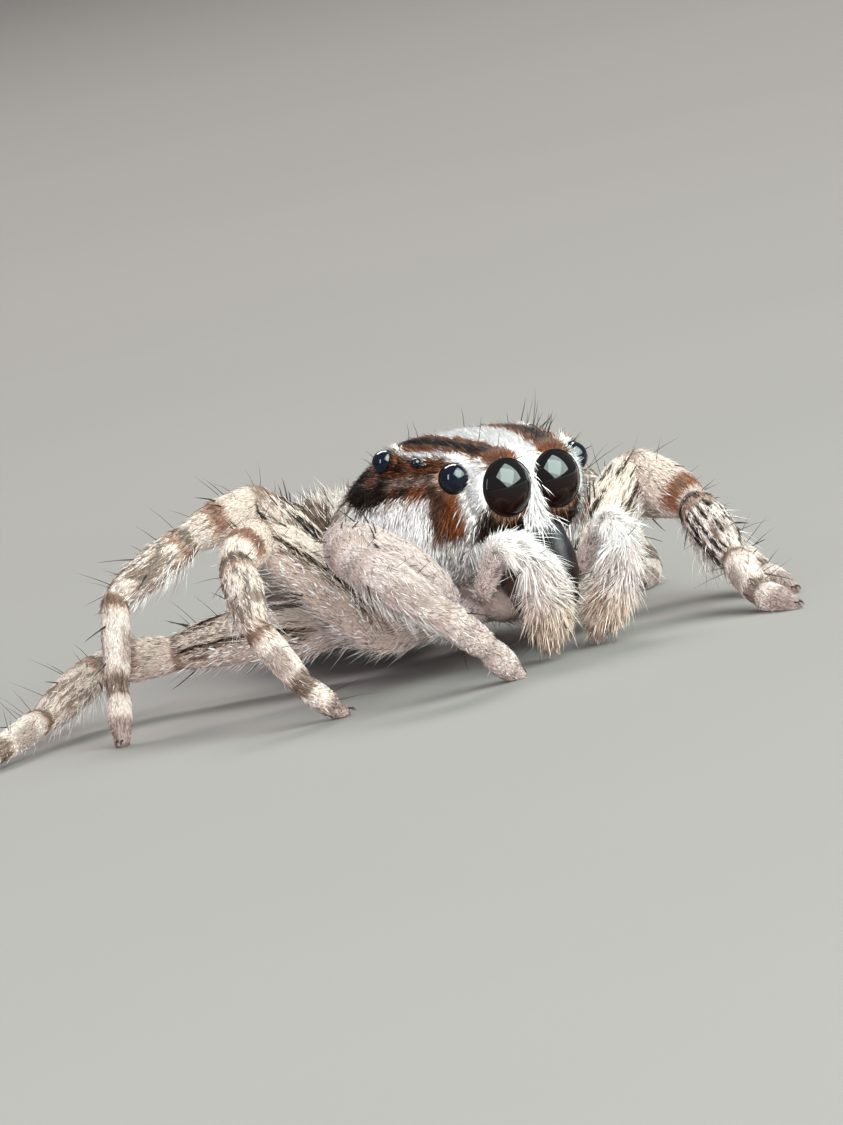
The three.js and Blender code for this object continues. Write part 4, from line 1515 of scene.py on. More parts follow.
@dataclass
class Head:
    """Head and chest in one shell, with its markings, its coat and the fringes round the eyes."""

    loft: BodyLoft = BodyLoft(
        (
            (-0.09, 0.3, 0.1, -0.3, 0.5),
            (-0.05, 0.58, 0.26, -0.42, 0.5),
            (0.04, 0.8, 0.4, -0.5, 0.5),
            (0.2, 0.98, 0.5, -0.6, 0.52),
            (0.5, 1.1, 0.59, -0.85, 0.52),
            (0.9, 1.19, 0.66, -1.1, 0.5),
            (1.3, 1.27, 0.69, -1.22, 0.42),
            (1.7, 1.34, 0.6, -1.26, 0.3),
            (2.1, 1.36, 0.38, -1.26, 0.2),
            (2.5, 1.28, 0.04, -1.22, 0.12),
            (2.9, 1.04, -0.36, -1.16, 0.08),
            (3.2, 0.66, -0.7, -1.06, 0.05),
            (3.3, 0.3, -0.82, -0.96, 0.0),
        ),
        rings=150,
        sides=170,
        caps=12,
    )
    coat_depth: float = 0.035
    plates: tuple[Plate, ...] = (
        Plate((0.0, 1.62, -1.3), (0.5, 1.2, 0.33)),
        Plate((0.24, 0.52, -1.36), (0.2, 0.32, 0.2)),
        Plate((-0.24, 0.52, -1.36), (0.2, 0.32, 0.2)),
    )
    chart_width: float = 3.2
    cheek_hairs: int = 6800
    beard_hairs: int = 1200
    middle_hairs: int = 1300
    crown_bristles: int = 40
    lip_bristles: int = 15

    def __post_init__(self) -> None:
        """Draws the shell in the body frame and then in the model's."""
        self.rng = np.random.default_rng(SEED)
        loft = self.loft.grid()
        grid = Surface(loft, loft).pushed(-self.coat_depth).points
        for side in Side:
            for eye in EYES:
                grid = self.raised(grid, eye, side)
        self.shell = Surface(BODY.points(grid), grid)
        self.fold = folded(grid)

    def raised(self, grid: Array, eye: Eye, side: Side) -> Array:
        """The shell with a soft mound drawn up round one eye.

        Args:
            grid: The shell's points in the body frame.
            eye: Which kind of eye.
            side: Which of the two.

        Returns:
            The new points.
        """
        off_axis, height = eye.off_axis(side, grid)
        rise = np.maximum(-self.coat_depth - height, 0.0)
        near = ramp(off_axis, eye.radius * 1.28 + 0.07, eye.radius * 1.02)
        near = near * ramp(height, -2.2 * eye.radius, -1.2 * eye.radius)
        return grid + eye.axis(side) * (rise * near)[..., None]

    def skin(self) -> list[tuple[Surface, Array]]:
        """The shell and the plates under it, each with its markings."""
        surfaces = (self.shell, *(plate.surface() for plate in self.plates))
        return [(surface, head_marks(surface.where)) for surface in surfaces]

    @staticmethod
    def comb(roots: Roots) -> Array:
        """The lie of the hair: back over the top, away from the big eyes in front, down the cheeks.

        Args:
            roots: Where the hair stands.

        Returns:
            A direction for each root.
        """
        x, y, z = roots.where[:, 0], roots.where[:, 1], roots.where[:, 2]
        none, side = np.zeros_like(x), np.sign(x)
        front = ramp(y, 0.42, 0.1) * ramp(z, 0.52, 0.3)
        cheek = ramp(z, 0.2, -0.05) * (1 - front)
        rest = np.clip(1 - front - cheek, 0, 1)
        back = np.stack([0.10 * side, none + 1.0, none], axis=-1)
        down = np.stack([none, none + 0.35, none - 1.0], axis=-1)
        from_eye = np.stack([x - side * BIG_EYE.centre[0], none, z - BIG_EYE.centre[2]], axis=-1)
        outward = unit(from_eye) * 0.75 + np.array([0.0, 0.1, -0.55])
        outward = np.where((np.abs(x) < 0.09)[:, None], np.array([0.0, -0.2, -1.0]), outward)
        return BODY.directions(back * rest[:, None] + outward * front[:, None] + down * cheek[:, None])

    def patch(self, count: int, density: Array) -> Roots:
        """Roots over part of the shell, none of them on an eye.

        Args:
            count: How many are drawn, before those on an eye are left out.
            density: A weight at each point of the shell.

        Returns:
            The roots.
        """
        roots = self.shell.sample(count, self.rng, density)
        clear = np.ones(len(roots), dtype=bool)
        for side in Side:
            for eye in EYES:
                off_axis, height = eye.off_axis(side, roots.where)
                clear &= (off_axis > eye.radius * 1.03) | (np.abs(height) > 1.4 * eye.radius)
        return roots.only(clear)

    def coat(self) -> None:
        """Grows the short coat in three pieces, the long hair of the face, and the fringes round the eyes."""
        _, y, z = self.fold
        head, upper = ramp(y, 1.95, 1.8), ramp(z, 0.12, 0.22)
        side = head * (1 - upper) * ramp(z, -1.15, -0.7) * (1 + 1.3 * ramp(y, 0.5, 0.2))
        areas = (
            ("coat_head_top", 37000, head * upper, SCALE),
            ("coat_head_side", 37000, side, FACE_HAIR),
            ("coat_chest", 22000, 1.02 - head, SCALE),
        )
        for name, count, density, cut in areas:
            roots = self.patch(count, density)
            marks = head_marks(roots.shaken(self.rng, 0.018))
            longer = 1.0 + 0.4 * ramp(roots.where[:, 1], 1.6, 2.4)
            cut.grow(roots, self.comb(roots), marks, self.rng, longer).piece(name, COAT, "head")
        self.grow_cheeks()
        self.grow_rims()
        self.grow_bristles()

    def grow_cheeks(self) -> None:
        """Makes the long white hair of cheeks and beard."""
        x, y, z = self.fold
        cheek = band(z, -0.75, 0.0, 0.12) * band(y, 0.55, 2.05, 0.12)
        cheek = cheek + 0.8 * band(z, -0.75, 0.05, 0.1) * ramp(y, 0.6, 0.3)
        roots = self.patch(self.cheek_hairs, cheek)
        marks = head_marks(roots.shaken(self.rng, 0.03))
        longer = 0.75 + 0.35 * ramp(roots.where[:, 2], 0.0, -0.3)
        longer = longer * (0.55 + 0.45 * ramp(roots.where[:, 1], 0.25, 0.75))
        cheeks = CHEEK_HAIR.grow(roots, self.comb(roots), marks, self.rng, longer)
        beard = band(z, -0.74, -0.53, 0.04) * ramp(y, 0.4, 0.25) * ramp(x, 0.75, 0.6)
        roots = self.patch(self.beard_hairs, beard)
        marks = speckled(repeated(WHITE, len(roots)), 0.2, (0.4, 0.1, 0.0, 0.2), self.rng)
        lie = BODY.directions(repeated((0.1, -0.35, -1.0), len(roots)))
        hanging = BEARD.grow(roots, lie, marks, self.rng)
        Sheet.joined([cheeks, hanging]).piece("coat_cheeks_and_beard", COAT, "head")

    def chart(self, at: Array) -> Array:
        """Where the hair of the face lies on the unwrap, seen from the front of the head."""
        return np.stack([0.5 + at[:, 0] / self.chart_width, 0.5 + at[:, 2] / self.chart_width], axis=-1)

    def grow_rims(self) -> None:
        """Makes the fringes that stand round each eye, and the white hair between the big ones."""
        parts = []
        for side in Side:
            for eye in EYES:
                radial = eye.round_about(side, self.rng.uniform(0, math.tau, eye.fringe))
                spread = eye.radius * 1.06 + np.abs(self.rng.normal(0, 0.035, eye.fringe)) + 0.006
                below = 0.045 + 0.7 * (spread - eye.radius)
                at = eye.rim_middle(side) + radial * spread[:, None] - eye.axis(side) * below[:, None]
                if eye is BIG_EYE:
                    outer = at[:, 0] * side.value >= 0.03
                    at, radial = at[outer], radial[outer]
                out = BODY.directions(repeated(eye.axis(side), len(at)))
                roots = Roots(BODY.points(at), out, BODY.directions(radial), at, self.chart(at))
                swirl = BODY.directions(radial + np.array([0.0, 0.0, -0.35]))
                marks = head_marks(at + np.array([0.0, 0.04, 0.0]))
                longer = 0.6 + 0.3 * eye.radius / BIG_EYE.radius
                parts.append(RIM_HAIR.grow(roots, swirl, marks, self.rng, longer))
        parts.append(self.between_eyes())
        Sheet.joined(parts).piece("coat_eye_fringes", COAT, "head")

    def between_eyes(self) -> Sheet:
        """Grows the white hair that stands between the two big eyes and hangs to the lip.

        Returns:
            The hair.
        """
        count, rng = self.middle_hairs, self.rng
        z = rng.uniform(-0.42, 0.42, count)
        x = rng.normal(0, 1, count) * by(z, (-0.42, 0.09), (-0.15, 0.022), (0.15, 0.022), (0.42, 0.1))
        at = np.stack([x, by(z, (-0.42, -0.08), (-0.1, -0.1), (0.1, -0.1), (0.42, 0.0)), z], axis=-1)
        out = BODY.directions(repeated((0.0, -1.0, 0.05), count))
        sideways = x * 2.5 + rng.normal(0, 0.25, count)
        lie = np.stack([sideways, np.full(count, -0.3), np.full(count, -1.0)], axis=-1)
        roots = Roots(BODY.points(at), out, out, at, self.chart(at))
        return BETWEEN_EYES.grow(roots, BODY.directions(lie), repeated(WHITE, count), rng)

    def grow_bristles(self) -> None:
        """Makes long black bristles over the head, and the curved ones under the big eyes."""
        x, y, z = self.fold
        by_rear_eyes = ramp(x, 0.7, 0.8) * band(y, 0.5, 1.4, 0.1)
        over_big_eyes = band(x, 0.25, 0.75, 0.05) * band(y, 0.02, 0.45, 0.05)
        crown = ramp(z, 0.25, 0.4) * ramp(y, 1.9, 1.5) * (0.12 + 2.2 * by_rear_eyes + 1.6 * over_big_eyes)
        near_middle = band(self.shell.where[..., 0], -0.1, 0.5, 0.05)
        lip = band(z, -0.6, -0.36, 0.04) * ramp(y, 0.2, 0.05) * near_middle
        parts = []
        for cut, count, density, comb in (
            (LASH, self.crown_bristles, crown, (0.0, -0.8, 0.3)),
            (LIP_BRISTLE, self.lip_bristles, lip, (0.9, -0.8, 0.1)),
        ):
            roots = self.patch(count, density)
            lie = BODY.directions(repeated(comb, len(roots)))
            parts.append(cut.grow(roots, lie, repeated(BLACK, len(roots)), self.rng))
        Sheet.joined(parts).piece("bristles_head", BRISTLE, "head")


# ---- Abdomen ----------------------------------------------------------------------------------------------


@dataclass(frozen=True)
class Rod:
    """A short finger or stalk: its two ends and its radius."""

    start: Triple
    end: Triple
    radius: float

    def surface(self, place: Place, side: Side = Side.LEFT) -> Surface:
        """Draws the rod.

        Args:
            place: The frame that its ends are given in.
            side: Which side it stands on.

        Returns:
            Its skin.
        """
        form = Length(1.0, ((0.0, self.radius), (0.6, self.radius * 0.95), (1.0, self.radius * 0.6)))
        joints = np.array([place.points(side.mirrored(self.start)), place.points(side.mirrored(self.end))])
        return LimbLoft(joints, (form,), sides=18, ring_step=0.02).surface()


@dataclass
class Belly:
    """The abdomen on its waist, with the spinnerets behind."""

    loft: BodyLoft = BodyLoft(
        (
            (0.0, 0.2, 0.12, -0.14, 0.0),
            (0.12, 0.5, 0.42, -0.34, 0.0),
            (0.5, 0.86, 0.74, -0.6, 0.05),
            (1.1, 1.08, 0.86, -0.78, 0.08),
            (1.8, 1.12, 0.86, -0.82, 0.08),
            (2.5, 0.98, 0.76, -0.72, 0.05),
            (3.1, 0.68, 0.52, -0.5, 0.0),
            (3.5, 0.36, 0.26, -0.28, 0.0),
            (3.66, 0.16, 0.1, -0.14, 0.0),
        ),
        rings=110,
        sides=110,
    )
    coat_depth: float = 0.05
    waist: Rod = Rod((0.0, 3.1, -0.9), (0.12, 3.75, -0.86), 0.13)
    spinners: tuple[Rod, ...] = (
        Rod((0.11, 3.4, -0.12), (0.16, 3.98, -0.2), 0.075),
        Rod((0.06, 3.45, -0.02), (0.07, 3.86, -0.05), 0.04),
        Rod((0.11, 3.4, 0.06), (0.17, 4.0, 0.08), 0.065),
    )
    lie: Triple = (0.0, 1.0, -0.05)
    bare: Mark = (0.1, 0.25, 0.2, 0.5)
    hair: Cut = Cut(length=0.14, width=0.016, lean=10, stray=13, bend=-0.03, sink=0.005)
    long_hair: Cut = Cut(length=0.28, width=0.012, lean=34, stray=16, bend=-0.15, rings=LONG)
    spinner_hair: Cut = Cut(length=0.09, width=0.012, lean=22, stray=15, bend=-0.1, sink=0.005)
    hairs: int = 30000
    long_hairs: int = 1800
    hairs_a_spinner: int = 450

    def __post_init__(self) -> None:
        """Draws the abdomen, the waist and the spinnerets."""
        loft = self.loft.grid()
        own = Surface(loft, loft).pushed(-self.coat_depth).points
        self.sac = Surface(BELLY.points(own), own)
        self.stalk = self.waist.surface(BODY)
        self.fingers = [rod.surface(BELLY, side) for side in Side for rod in self.spinners]

    def skin(self) -> list[tuple[Surface, Array]]:
        """The abdomen, its stalk and its spinnerets, each with its markings."""
        rods = [(rod, painted(rod.where, self.bare)) for rod in (self.stalk, *self.fingers)]
        return [(self.sac, belly_marks(self.sac.where)), *rods]

    def coat(self) -> None:
        """Grows the short coat, some long hair, and the hair of the spinnerets."""
        rng = np.random.default_rng(SEED + 1)
        back = BELLY.directions(self.lie)
        roots = self.sac.sample(self.hairs, rng)
        marks = belly_marks(roots.shaken(rng, 0.03))
        short = self.hair.grow(roots, repeated(back, len(roots)), marks, rng)
        short.piece("coat_abdomen", COAT, "abdomen")
        roots = self.sac.sample(self.long_hairs, rng)
        marks = speckled(repeated((0.6, 0.0, 0.0, 0.2), len(roots)), 0.25, BROWN, rng)
        parts = [self.long_hair.grow(roots, repeated(back, len(roots)), marks, rng)]
        for finger in self.fingers:
            roots = finger.sample(self.hairs_a_spinner, rng)
            marks = repeated((0.2, 0.3, 0.1, 0.3), len(roots))
            parts.append(self.spinner_hair.grow(roots, roots.along, marks, rng))
        Sheet.joined(parts).piece("coat_abdomen_long", COAT, "abdomen")


# ---- Limbs ------------------------------------------------------------------------------------------------

LEG_LENGTHS = (
    Length(1.1, ((0, 0.2), (0.5, 0.24), (1, 0.25))),
    Length(1.35, ((0, 0.22), (0.2, 0.29), (0.5, 0.3), (0.8, 0.26), (1, 0.22)), bow=0.08),
    Length(1.08, ((0, 0.24), (0.5, 0.28), (1, 0.24))),
    Length(1.05, ((0, 0.22), (0.35, 0.26), (0.75, 0.24), (1, 0.2))),
    Length(1.0, ((0, 0.2), (0.4, 0.21), (1, 0.18))),
    Length(1.0, ((0, 0.18), (0.6, 0.18), (1, 0.13))),
)
PALP_LENGTHS = (
    Length(1.1, ((0, 0.13), (0.5, 0.155), (1, 0.18))),
    Length(1.0, ((0, 0.2), (0.5, 0.22), (1, 0.21))),
    Length(1.0, ((0, 0.22), (0.5, 0.25), (1, 0.25))),
    Length(1.0, ((0, 0.25), (0.35, 0.27), (0.75, 0.23), (1, 0.12))),
)

LEG_SCALE = Cut(length=0.095, width=0.015, lean=8, stray=10, bend=-0.03, uneven=0.25, sink=0.004)
THIGH_SCALE = Cut(length=0.12, width=0.024, lean=20, stray=16, bend=-0.1, rings=CURVED)
LEG_FRINGE = Cut(length=0.22, width=0.010, lean=40, stray=15, bend=-0.25, droop=0.1, rings=LONG)
SPINE = Cut(length=0.32, width=0.022, lean=42, stray=10, bend=-0.08, uneven=0.2, ridge=0.8, rings=TAPERED)
FINE_HAIR = Cut(length=0.36, width=0.008, lean=68, stray=16, bend=-0.1, ridge=0.8, rings=((0, 1), (0.5, 0.7)))
PALP_FUR = Cut(length=0.13, width=0.014, lean=18, stray=15, bend=-0.1, sink=0.006)
PALP_LONG = Cut(length=0.24, width=0.012, lean=30, stray=14, bend=-0.12, droop=0.1, rings=CURVED)
PALE_HAIR: Mark = (0.75, 0.0, 0.0, 0.15)
SPINE_RINGS = (0.55, 0.85, 1.5, 2.3, 2.6, 3.3, 3.7)


@dataclass(frozen=True)
class LegPair:
    """What the two legs of a pair share: the hip's two ends, girth, lengths, darkness and the knee patch."""

    root: Triple
    hip: Triple
    girth: float
    lengths: tuple[float, ...]
    dark: float
    knee: float = 1.5


LEG_PAIRS = {
    1: LegPair((0.5, 0.75, -1.45), (0.98, 0.55, -1.45), 1.12, (1.85, 0.9, 1.25, 0.85, 0.6), 1.0, 1.68),
    2: LegPair((0.58, 1.3, -1.45), (1.28, 1.5, -1.55), 1.0, (2.05, 0.85, 1.2, 0.85, 0.6), 0.55),
    3: LegPair((0.58, 1.86, -1.45), (1.16, 2.08, -1.5), 0.97, (2.0, 0.9, 1.25, 1.2, 0.65), 0.5),
    4: LegPair((0.48, 2.42, -1.45), (0.98, 2.68, -1.45), 0.97, (2.1, 0.9, 1.4, 1.35, 0.7), 0.4),
}


@dataclass
class Leg:
    """One leg: its pair, its side, each length's turn and lift in degrees, its colours and its hair."""

    pair: int
    side: Side
    turn: tuple[float, ...]
    lift: tuple[float, ...]
    shade: float = 1.0
    mauve: float = 0.25
    inset: float = 0.035
    hairs: int = 16000
    long_hairs: int = 650
    thigh_hairs: int = 130
    spines: int = 16
    fine_hairs: int = 26

    def __post_init__(self) -> None:
        """Poses the leg and draws its skin."""
        self.form = LEG_PAIRS[self.pair]
        self.name = f"leg_{self.side.word}_{self.pair}"
        self.seed = 20 * self.pair + (5 if self.side is Side.LEFT else 0)
        self.rng = np.random.default_rng(SEED + self.seed)
        root, hip = (BODY.points(self.side.mirrored(place)) for place in (self.form.root, self.form.hip))
        self.joints = np.concatenate([[root], chain(hip, self.form.lengths, self.turn, self.lift)])
        loft = LimbLoft(self.joints, LEG_LENGTHS, first=-1, girth=self.form.girth, inset=self.inset)
        self.surface = loft.surface()
        self.passed, self.up, _, self.back = (self.surface.where[..., i] for i in range(4))

    def nodes(self) -> list[str]:
        """The CAD nodes that the leg stands for."""
        return [f"{self.name}_{part}" for part in ("femur", "tibia", "foot")]

    def marks(self, where: Array) -> Array:
        """The leg's markings."""
        return leg_marks(where, self.seed, self.form.dark, self.shade, self.form.knee, self.mauve)

    def skin(self) -> list[tuple[Surface, Array]]:
        """The leg's surface with its markings."""
        return [(self.surface, self.marks(self.surface.where))]

    def grown(self, cut: Cut, count: int, density: Array, mark: Mark) -> Sheet:
        """Grows hair of one marking along the leg.

        Args:
            cut: How it is cut.
            count: How many hairs.
            density: A weight at each point of the skin.
            mark: Their marking.

        Returns:
            The hair.
        """
        roots = self.surface.sample(count, self.rng, density)
        return cut.grow(roots, roots.along, repeated(mark, count), self.rng)

    def coat(self) -> None:
        """Grows the flat coat, the hanging fringe, the spines and the fine standing hair."""
        density = by(self.passed, (-1, 0.5), (0, 0.8), (1, 1.0), (3, 1.1), (4.2, 1.3), (5, 1.6))
        density = density * (1 - 0.45 * band(self.passed, 0.12, 0.92, 0.06) * ramp(self.back, -0.2, -0.5))
        roots = self.surface.sample(self.hairs, self.rng, density)
        jitter = self.rng.normal(0, 0.012, roots.where.shape) * np.array([1.0, 2.0, 2.0, 2.0])
        marks = speckled(self.marks(roots.where + jitter), 0.05, (0.0, 0.3, 0.7, 0.0), self.rng)
        longer = by(roots.where[:, 0], (-1, 1.1), (0.5, 1.05), (2.5, 1.0), (3.5, 0.8), (5, 0.55))
        short = LEG_SCALE.grow(roots, roots.along, marks, self.rng, longer)
        flank = band(self.passed, 0.1, 0.8, 0.05) * band(self.back, -0.95, -0.35, 0.1)
        parts = [short, self.fringe(), self.grown(THIGH_SCALE, self.thigh_hairs, flank, WHITE)]
        Sheet.joined(parts).piece(f"coat_{self.name}", COAT, "leg")
        rings = sum(band(self.passed, at - 0.04, at + 0.04, 0.02) for at in SPINE_RINGS)
        stout = self.grown(SPINE, self.spines, rings * (0.4 + ramp(self.up, -0.5, 0.4)), BLACK)
        upper = ramp(self.up, 0.0, 0.6) * band(self.passed, 0.5, 4.6, 0.2)
        fine = self.grown(FINE_HAIR, self.fine_hairs, upper, BLACK)
        Sheet.joined([stout, fine]).piece(f"spines_{self.name}", BRISTLE, "leg")

    def fringe(self) -> Sheet:
        """Grows long pale hair under the thigh and the shin, and sparser hair all round.

        Returns:
            The hair.
        """
        base, thigh = band(self.passed, -0.6, 0.3, 0.1), band(self.passed, 0.3, 0.95, 0.05)
        shin = band(self.passed, 2.1, 2.95, 0.05)
        below = ramp(self.up, 0.0, -0.6) * (0.8 * base + 0.3 * thigh + shin)
        roots = self.surface.sample(self.long_hairs, self.rng, 0.1 + below)
        marks = speckled(repeated(PALE_HAIR, len(roots)), 0.12, (0.0, 0.3, 0.6, 0.0), self.rng)
        passed, up = roots.where[:, 0], roots.where[:, 1]
        longer = by(passed, (-1, 0.8), (0.3, 1.0), (2.5, 1.0), (3.5, 0.6), (5, 0.35))
        longer = longer * (0.6 + 0.4 * ramp(up, 0.2, -0.5))
        longer = longer * (1 + 0.5 * self.form.dark * band(passed, 2.1, 2.95, 0.05))
        return LEG_FRINGE.grow(roots, roots.along, marks, self.rng, longer)


LEGS = (
    Leg(1, Side.RIGHT, (-174, -122, -74, 1, 20), (43, -10, -33, -45), shade=0.3, mauve=0.9),
    Leg(2, Side.RIGHT, (177, -149, -121, -54, -7), (48, -9, -37, -60)),
    Leg(3, Side.RIGHT, (113, 166, 170, -140, -140), (59, -14, -22, -56)),
    Leg(4, Side.RIGHT, (126, 138, -161, -152, -158), (1, 2, -15, -6)),
    # Its grey-pink plain hair is partly its own colour and partly painted shade for the head's shadow over
    # it.
    Leg(1, Side.LEFT, (11, -78, -108, -112, -92), (42, -33, -31, -27), mauve=0.6),
    Leg(2, Side.LEFT, (18, -60, -103, -108, -98), (28, -14, -32, -15)),
    Leg(3, Side.LEFT, (44, 33, 16, -87, -139), (36, 12, -29, -53)),
    Leg(4, Side.LEFT, (46, 50, 57, 59, 57), (18, 7, -20, -22)),
)


@dataclass
class Palp:
    """One palp, with its thick brush."""

    side: Side
    turn: tuple[float, ...]
    lift: tuple[float, ...]
    root: Triple = (0.7, 0.22, -1.17)
    lengths: tuple[float, ...] = (0.95, 0.36, 0.42, 0.74)
    inset: float = 0.06
    hairs: int = 14500
    long_hairs: int = 3600
    bristles: int = 34

    def __post_init__(self) -> None:
        """Poses the palp and draws its skin."""
        self.name = f"palp_{self.side.word}"
        self.seed = 160 + self.side.value
        joints = chain(BODY.points(self.side.mirrored(self.root)), self.lengths, self.turn, self.lift)
        self.surface = LimbLoft(joints, PALP_LENGTHS, inset=self.inset, ring_step=0.025).surface()

    def skin(self) -> list[tuple[Surface, Array]]:
        """The palp's surface with its markings."""
        return [(self.surface, palp_marks(self.surface.where, self.seed))]

    def coat(self) -> None:
        """Grows the short fur, the long combed hair and a few dark bristles."""
        rng = np.random.default_rng(SEED + self.seed)
        passed = self.surface.where[..., 0]
        roots = self.surface.sample(self.hairs, rng, by(passed, (0, 0.7), (1, 1.0), (4, 1.2)))
        fur = PALP_FUR.grow(roots, roots.along, palp_marks(roots.shaken(rng, 0.03), self.seed), rng)
        density = by(passed, (0, 0.1), (0.7, 0.5), (1, 1.0), (3.6, 1.2), (4, 0.8))
        roots = self.surface.sample(self.long_hairs, rng, density)
        marks = palp_marks(roots.shaken(rng, 0.05), self.seed)
        marks = over(marks, 0.3 * ramp(roots.where[:, 0], 3.3, 2.8), WHITE)
        longer = by(roots.where[:, 0], (0, 0.6), (1, 0.8), (2.5, 1.0), (3.5, 0.9), (4, 0.55))
        brush = PALP_LONG.grow(roots, roots.along, marks, rng, longer)
        Sheet.joined([fur, brush]).piece(f"coat_{self.name}", COAT, "palp")
        roots = self.surface.sample(self.bristles, rng, ramp(passed, 0.8, 1.4))
        dark = FINE_HAIR.grow(roots, roots.along, repeated(BLACK, len(roots)), rng, 0.8)
        dark.piece(f"bristles_{self.name}", BRISTLE, "palp")


PALPS = (
    Palp(Side.RIGHT, (-101, -52, -60, 70), (37, -30, -72, -63)),
    Palp(Side.LEFT, (-86, -106, -172, 115), (39, -34, -68, -55)),
)


@dataclass
class Jaws:
    """The two jaws under the face with their folded fangs."""

    root: Triple = (0.28, 0.12, -0.64)
    tip: Triple = (0.3, -0.06, -1.36)
    fang_tip: Triple = (0.12, 0.1, -1.42)
    jaw: Length = Length(1.2, ((0, 0.2), (0.3, 0.235), (0.7, 0.225), (1, 0.15)))
    fang: Length = Length(1.0, ((0, 0.07), (0.6, 0.05), (1, 0.015)))
    jaw_chart: tuple[float, ...] = (0.02, 0.02, 0.6, 0.96)
    fang_chart: tuple[float, ...] = (0.66, 0.02, 0.32, 0.96)

    def build(self) -> None:
        """Makes each side's jaw and fang as one hard piece."""
        for side in Side:
            places = (side.mirrored(place) for place in (self.root, self.tip, self.fang_tip))
            root, tip, end = (BODY.points(place) for place in places)
            jaw = LimbLoft(np.array([root, tip]), (self.jaw,), sides=40, ring_step=0.02).surface()
            fang = LimbLoft(np.array([tip, end]), (self.fang,), sides=20, ring_step=0.012).surface()
            sheets = [tube_sheet(jaw, chart=self.jaw_chart), tube_sheet(fang, chart=self.fang_chart)]
            Sheet.joined(sheets).piece(f"jaw_{side.word}_shell", HORN, "jaw", [f"jaw_{side.word}"])


@dataclass
class Claws:
    """Two small hooked claws at the tip of every leg."""

    legs: tuple[Leg, ...]
    length: float = 0.11
    radius: float = 0.016
    ahead: float = 0.08
    apart: float = 0.03
    above: float = 0.03
    rise: float = 0.01
    hook: float = 0.05

    def build(self) -> None:
        """Makes all the claws as one piece."""
        radius = self.radius
        base = Length(1.0, ((0, radius), (0.6, radius * 0.7), (1, radius * 0.2)))
        point = Length(1.0, ((0, radius * 0.7), (1, radius * 0.2)))
        sheets = []
        for leg in self.legs:
            tip = leg.joints[-1]
            flat = unit(unit(tip - leg.joints[-2]) * np.array([1.0, 1.0, 0.0]))
            side = np.cross(flat, UP)
            for sense in (-1, 1):
                start = tip + flat * self.ahead + side * self.apart * sense + UP * self.above
                bend = start + flat * self.length * 0.6 + UP * self.rise
                end = bend + flat * self.length * 0.35 - UP * self.hook
                joints = np.array([start, bend, end])
                loft = LimbLoft(joints, (base, point), sides=8, ring_step=0.012, softness=0.015)
                sheets.append(tube_sheet(loft.surface()))
        Sheet.joined(sheets).piece("claws", HORN, "leg")


# ---- The whole model --------------------------------------------------------------------------------------


@dataclass
class Spider:
    """The whole animal: one skin, its coat, and the hard parts."""

    head: Head = field(default_factory=Head)
    belly: Belly = field(default_factory=Belly)
    legs: tuple[Leg, ...] = LEGS
    palps: tuple[Palp, ...] = PALPS

    def build(self) -> None:
        """Makes every piece in order."""
        self.build_skin()
        Eyes().build()
        Jaws().build()
        Claws(self.legs).build()
        for part in (self.head, self.belly, *self.legs, *self.palps):
            part.coat()

    def build_skin(self) -> None:
        """Joins every surface of flesh in one skin that stands for all the nodes of flesh."""
        parts = [pair for part in (self.head, self.belly, *self.legs, *self.palps) for pair in part.skin()]
        across = math.ceil(math.sqrt(len(parts)))
        size = 1.0 / across
        left, low, width, height = WHOLE_CHART
        sheets = []
        for i, (surface, marks) in enumerate(parts):
            row, column = divmod(i, across)
            chart = ((column + left) * size, (row + low) * size, width * size, height * size)
            sheets.append(tube_sheet(surface, marks, chart))
        nodes = ["cephalothorax", "abdomen", "spinnerets"]
        nodes += [node for leg in self.legs for node in leg.nodes()]
        nodes += [palp.name for palp in self.palps]
        Sheet.joined(sheets).piece("skin", SKIN, "head", nodes)


# ---- Studio -----------------------------------------------------------------------------------------------


def towards(azimuth: float, elevation: float) -> Triple:
    """The direction of an azimuth, counted from -Y towards +X, and an elevation, in degrees."""
    turn, rise = math.radians(azimuth), math.radians(elevation)
    return math.sin(turn) * math.cos(rise), -math.cos(turn) * math.cos(rise), math.sin(rise)


@dataclass(frozen=True)
class Softbox:
    """A soft light.

    Its azimuth, elevation and roll are in degrees, its distance and size in metres and its power in watts.
    Where it isn't mirrored, it doesn't show in what is glossy.
    """

    name: str
    azimuth: float
    elevation: float
    distance: float
    size: tuple[float, float]
    power: float
    colour: Triple
    roll: float = 0.0
    mirrored: bool = True

    def build(self, aim: Vector) -> None:
        """Hangs the light.

        Args:
            aim: The place it faces, in metres.
        """
        back = Vector(towards(self.azimuth, self.elevation))
        lamp = bpy.data.lights.new(self.name, "AREA")
        lamp.shape = "RECTANGLE"
        lamp.size, lamp.size_y = self.size
        lamp.energy = self.power
        lamp.color = self.colour
        thing = placed(self.name, lamp)
        thing.location = aim + back * self.distance
        thing.rotation_mode = "QUATERNION"
        rolled = Matrix.Rotation(math.radians(self.roll), 3, "Z").to_quaternion()
        thing.rotation_quaternion = (-back).to_track_quat("-Z", "Y") @ rolled
        thing.visible_camera = False
        thing.visible_glossy = self.mirrored


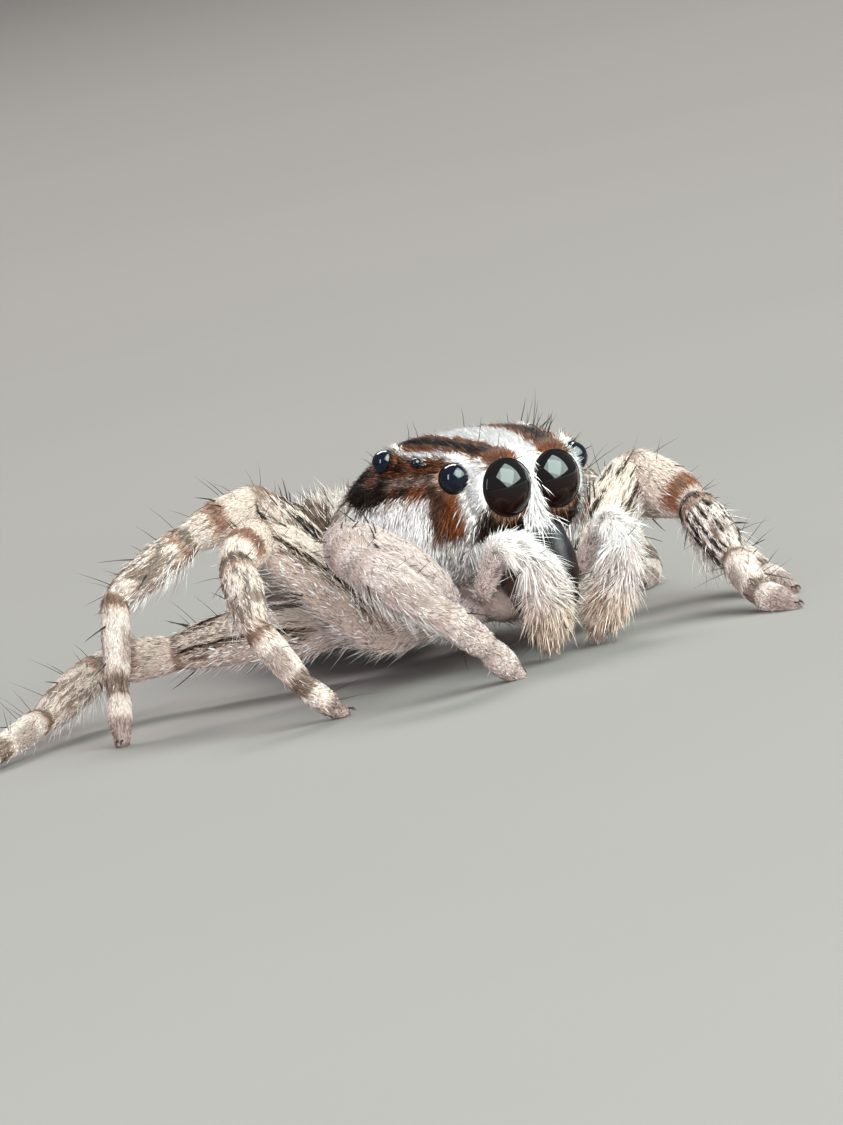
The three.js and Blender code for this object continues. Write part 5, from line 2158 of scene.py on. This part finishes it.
@dataclass(frozen=True)
class Studio:
    """The floor, the lights and the camera, whose distance from the spider is in millimetres."""

    azimuth: float = -36.0
    elevation: float = 6.0
    roll: float = 12.0
    distance: float = 120.0
    pixels_per_mm: float = 86.0
    centre_pixel: tuple[float, float] = (526.5, 483.0)
    image: tuple[int, int] = (843, 1125)
    sensor: float = 36.0
    floor_metres: float = 2.4
    aim: Triple = (0.0, 0.6, -0.4)
    softboxes: tuple[Softbox, ...] = (
        Softbox("key", 20.0, 34.0, 0.17, (0.23, 0.19), 0.56, (0.84, 1.0, 0.94), 14.0),
        Softbox("key_core", 14.0, 35.0, 0.16, (0.14, 0.12), 0.17, (0.8, 1.0, 0.95), 52.0),
        Softbox("fill", -78.0, 24.0, 0.2, (0.035, 0.12), 0.08, (0.75, 0.9, 1.0)),
        Softbox("front", -32.0, 9.0, 0.24, (0.14, 0.08), 0.7, (1.0, 0.93, 0.93), mirrored=False),
        Softbox("rim", 150.0, 48.0, 0.22, (0.16, 0.08), 0.36, (1.0, 0.97, 0.94)),
    )
    world: Triple = (0.115, 0.115, 0.12)

    def build(self) -> None:
        """Sets the whole studio."""
        self.build_floor()
        self.build_world()
        aim = Vector(BODY.points(self.aim) * MM)
        for softbox in self.softboxes:
            softbox.build(aim)
        self.build_camera()
        bpy.context.scene.view_settings.view_transform = "Standard"

    def build_floor(self) -> None:
        """Lays the floor as a large plate."""
        reach = self.floor_metres / 2
        mesh = bpy.data.meshes.new("floor")
        corners = [(-reach, -reach, 0.0), (reach, -reach, 0.0), (reach, reach, 0.0), (-reach, reach, 0.0)]
        mesh.from_pydata(corners, [], [(0, 1, 2, 3)])
        thing = placed("floor", mesh)
        Ground("ground").dress(thing)

    def build_world(self) -> None:
        """Gives the room a dim, even light."""
        world = bpy.data.worlds.new("room")
        world.use_nodes = True
        world.node_tree.nodes["Background"].inputs["Color"].default_value = (*self.world, 1.0)
        bpy.context.scene.world = world

    def build_camera(self) -> None:
        """Stands the camera so that the point between the big eyes lands on its pixel."""
        turn, roll = math.radians(self.azimuth), math.radians(self.roll)
        back = np.array(towards(self.azimuth, self.elevation))
        level = np.array([math.cos(turn), math.sin(turn), 0.0])
        lift = np.cross(back, level)
        right = level * math.cos(roll) - lift * math.sin(roll)
        top = level * math.sin(roll) + lift * math.cos(roll)
        width, height = self.image
        across = (self.centre_pixel[0] - width / 2) / self.pixels_per_mm
        above = -(self.centre_pixel[1] - height / 2) / self.pixels_per_mm
        stand = BODY.origin + back * self.distance - right * across - top * above
        camera = bpy.data.cameras.new("camera")
        camera.sensor_width = self.sensor
        camera.lens = self.pixels_per_mm * self.distance * self.sensor / height
        camera.clip_start, camera.clip_end = 0.005, 5.0
        thing = placed("camera", camera)
        axes = Matrix((right, top, back)).transposed().to_4x4()
        thing.matrix_world = Matrix.Translation(Vector(stand * MM)) @ axes
        bpy.context.scene.camera = thing


def main() -> None:
    """Builds the spider and its studio."""
    Spider().build()
    Studio().build()


if __name__ == "__main__":
    main()
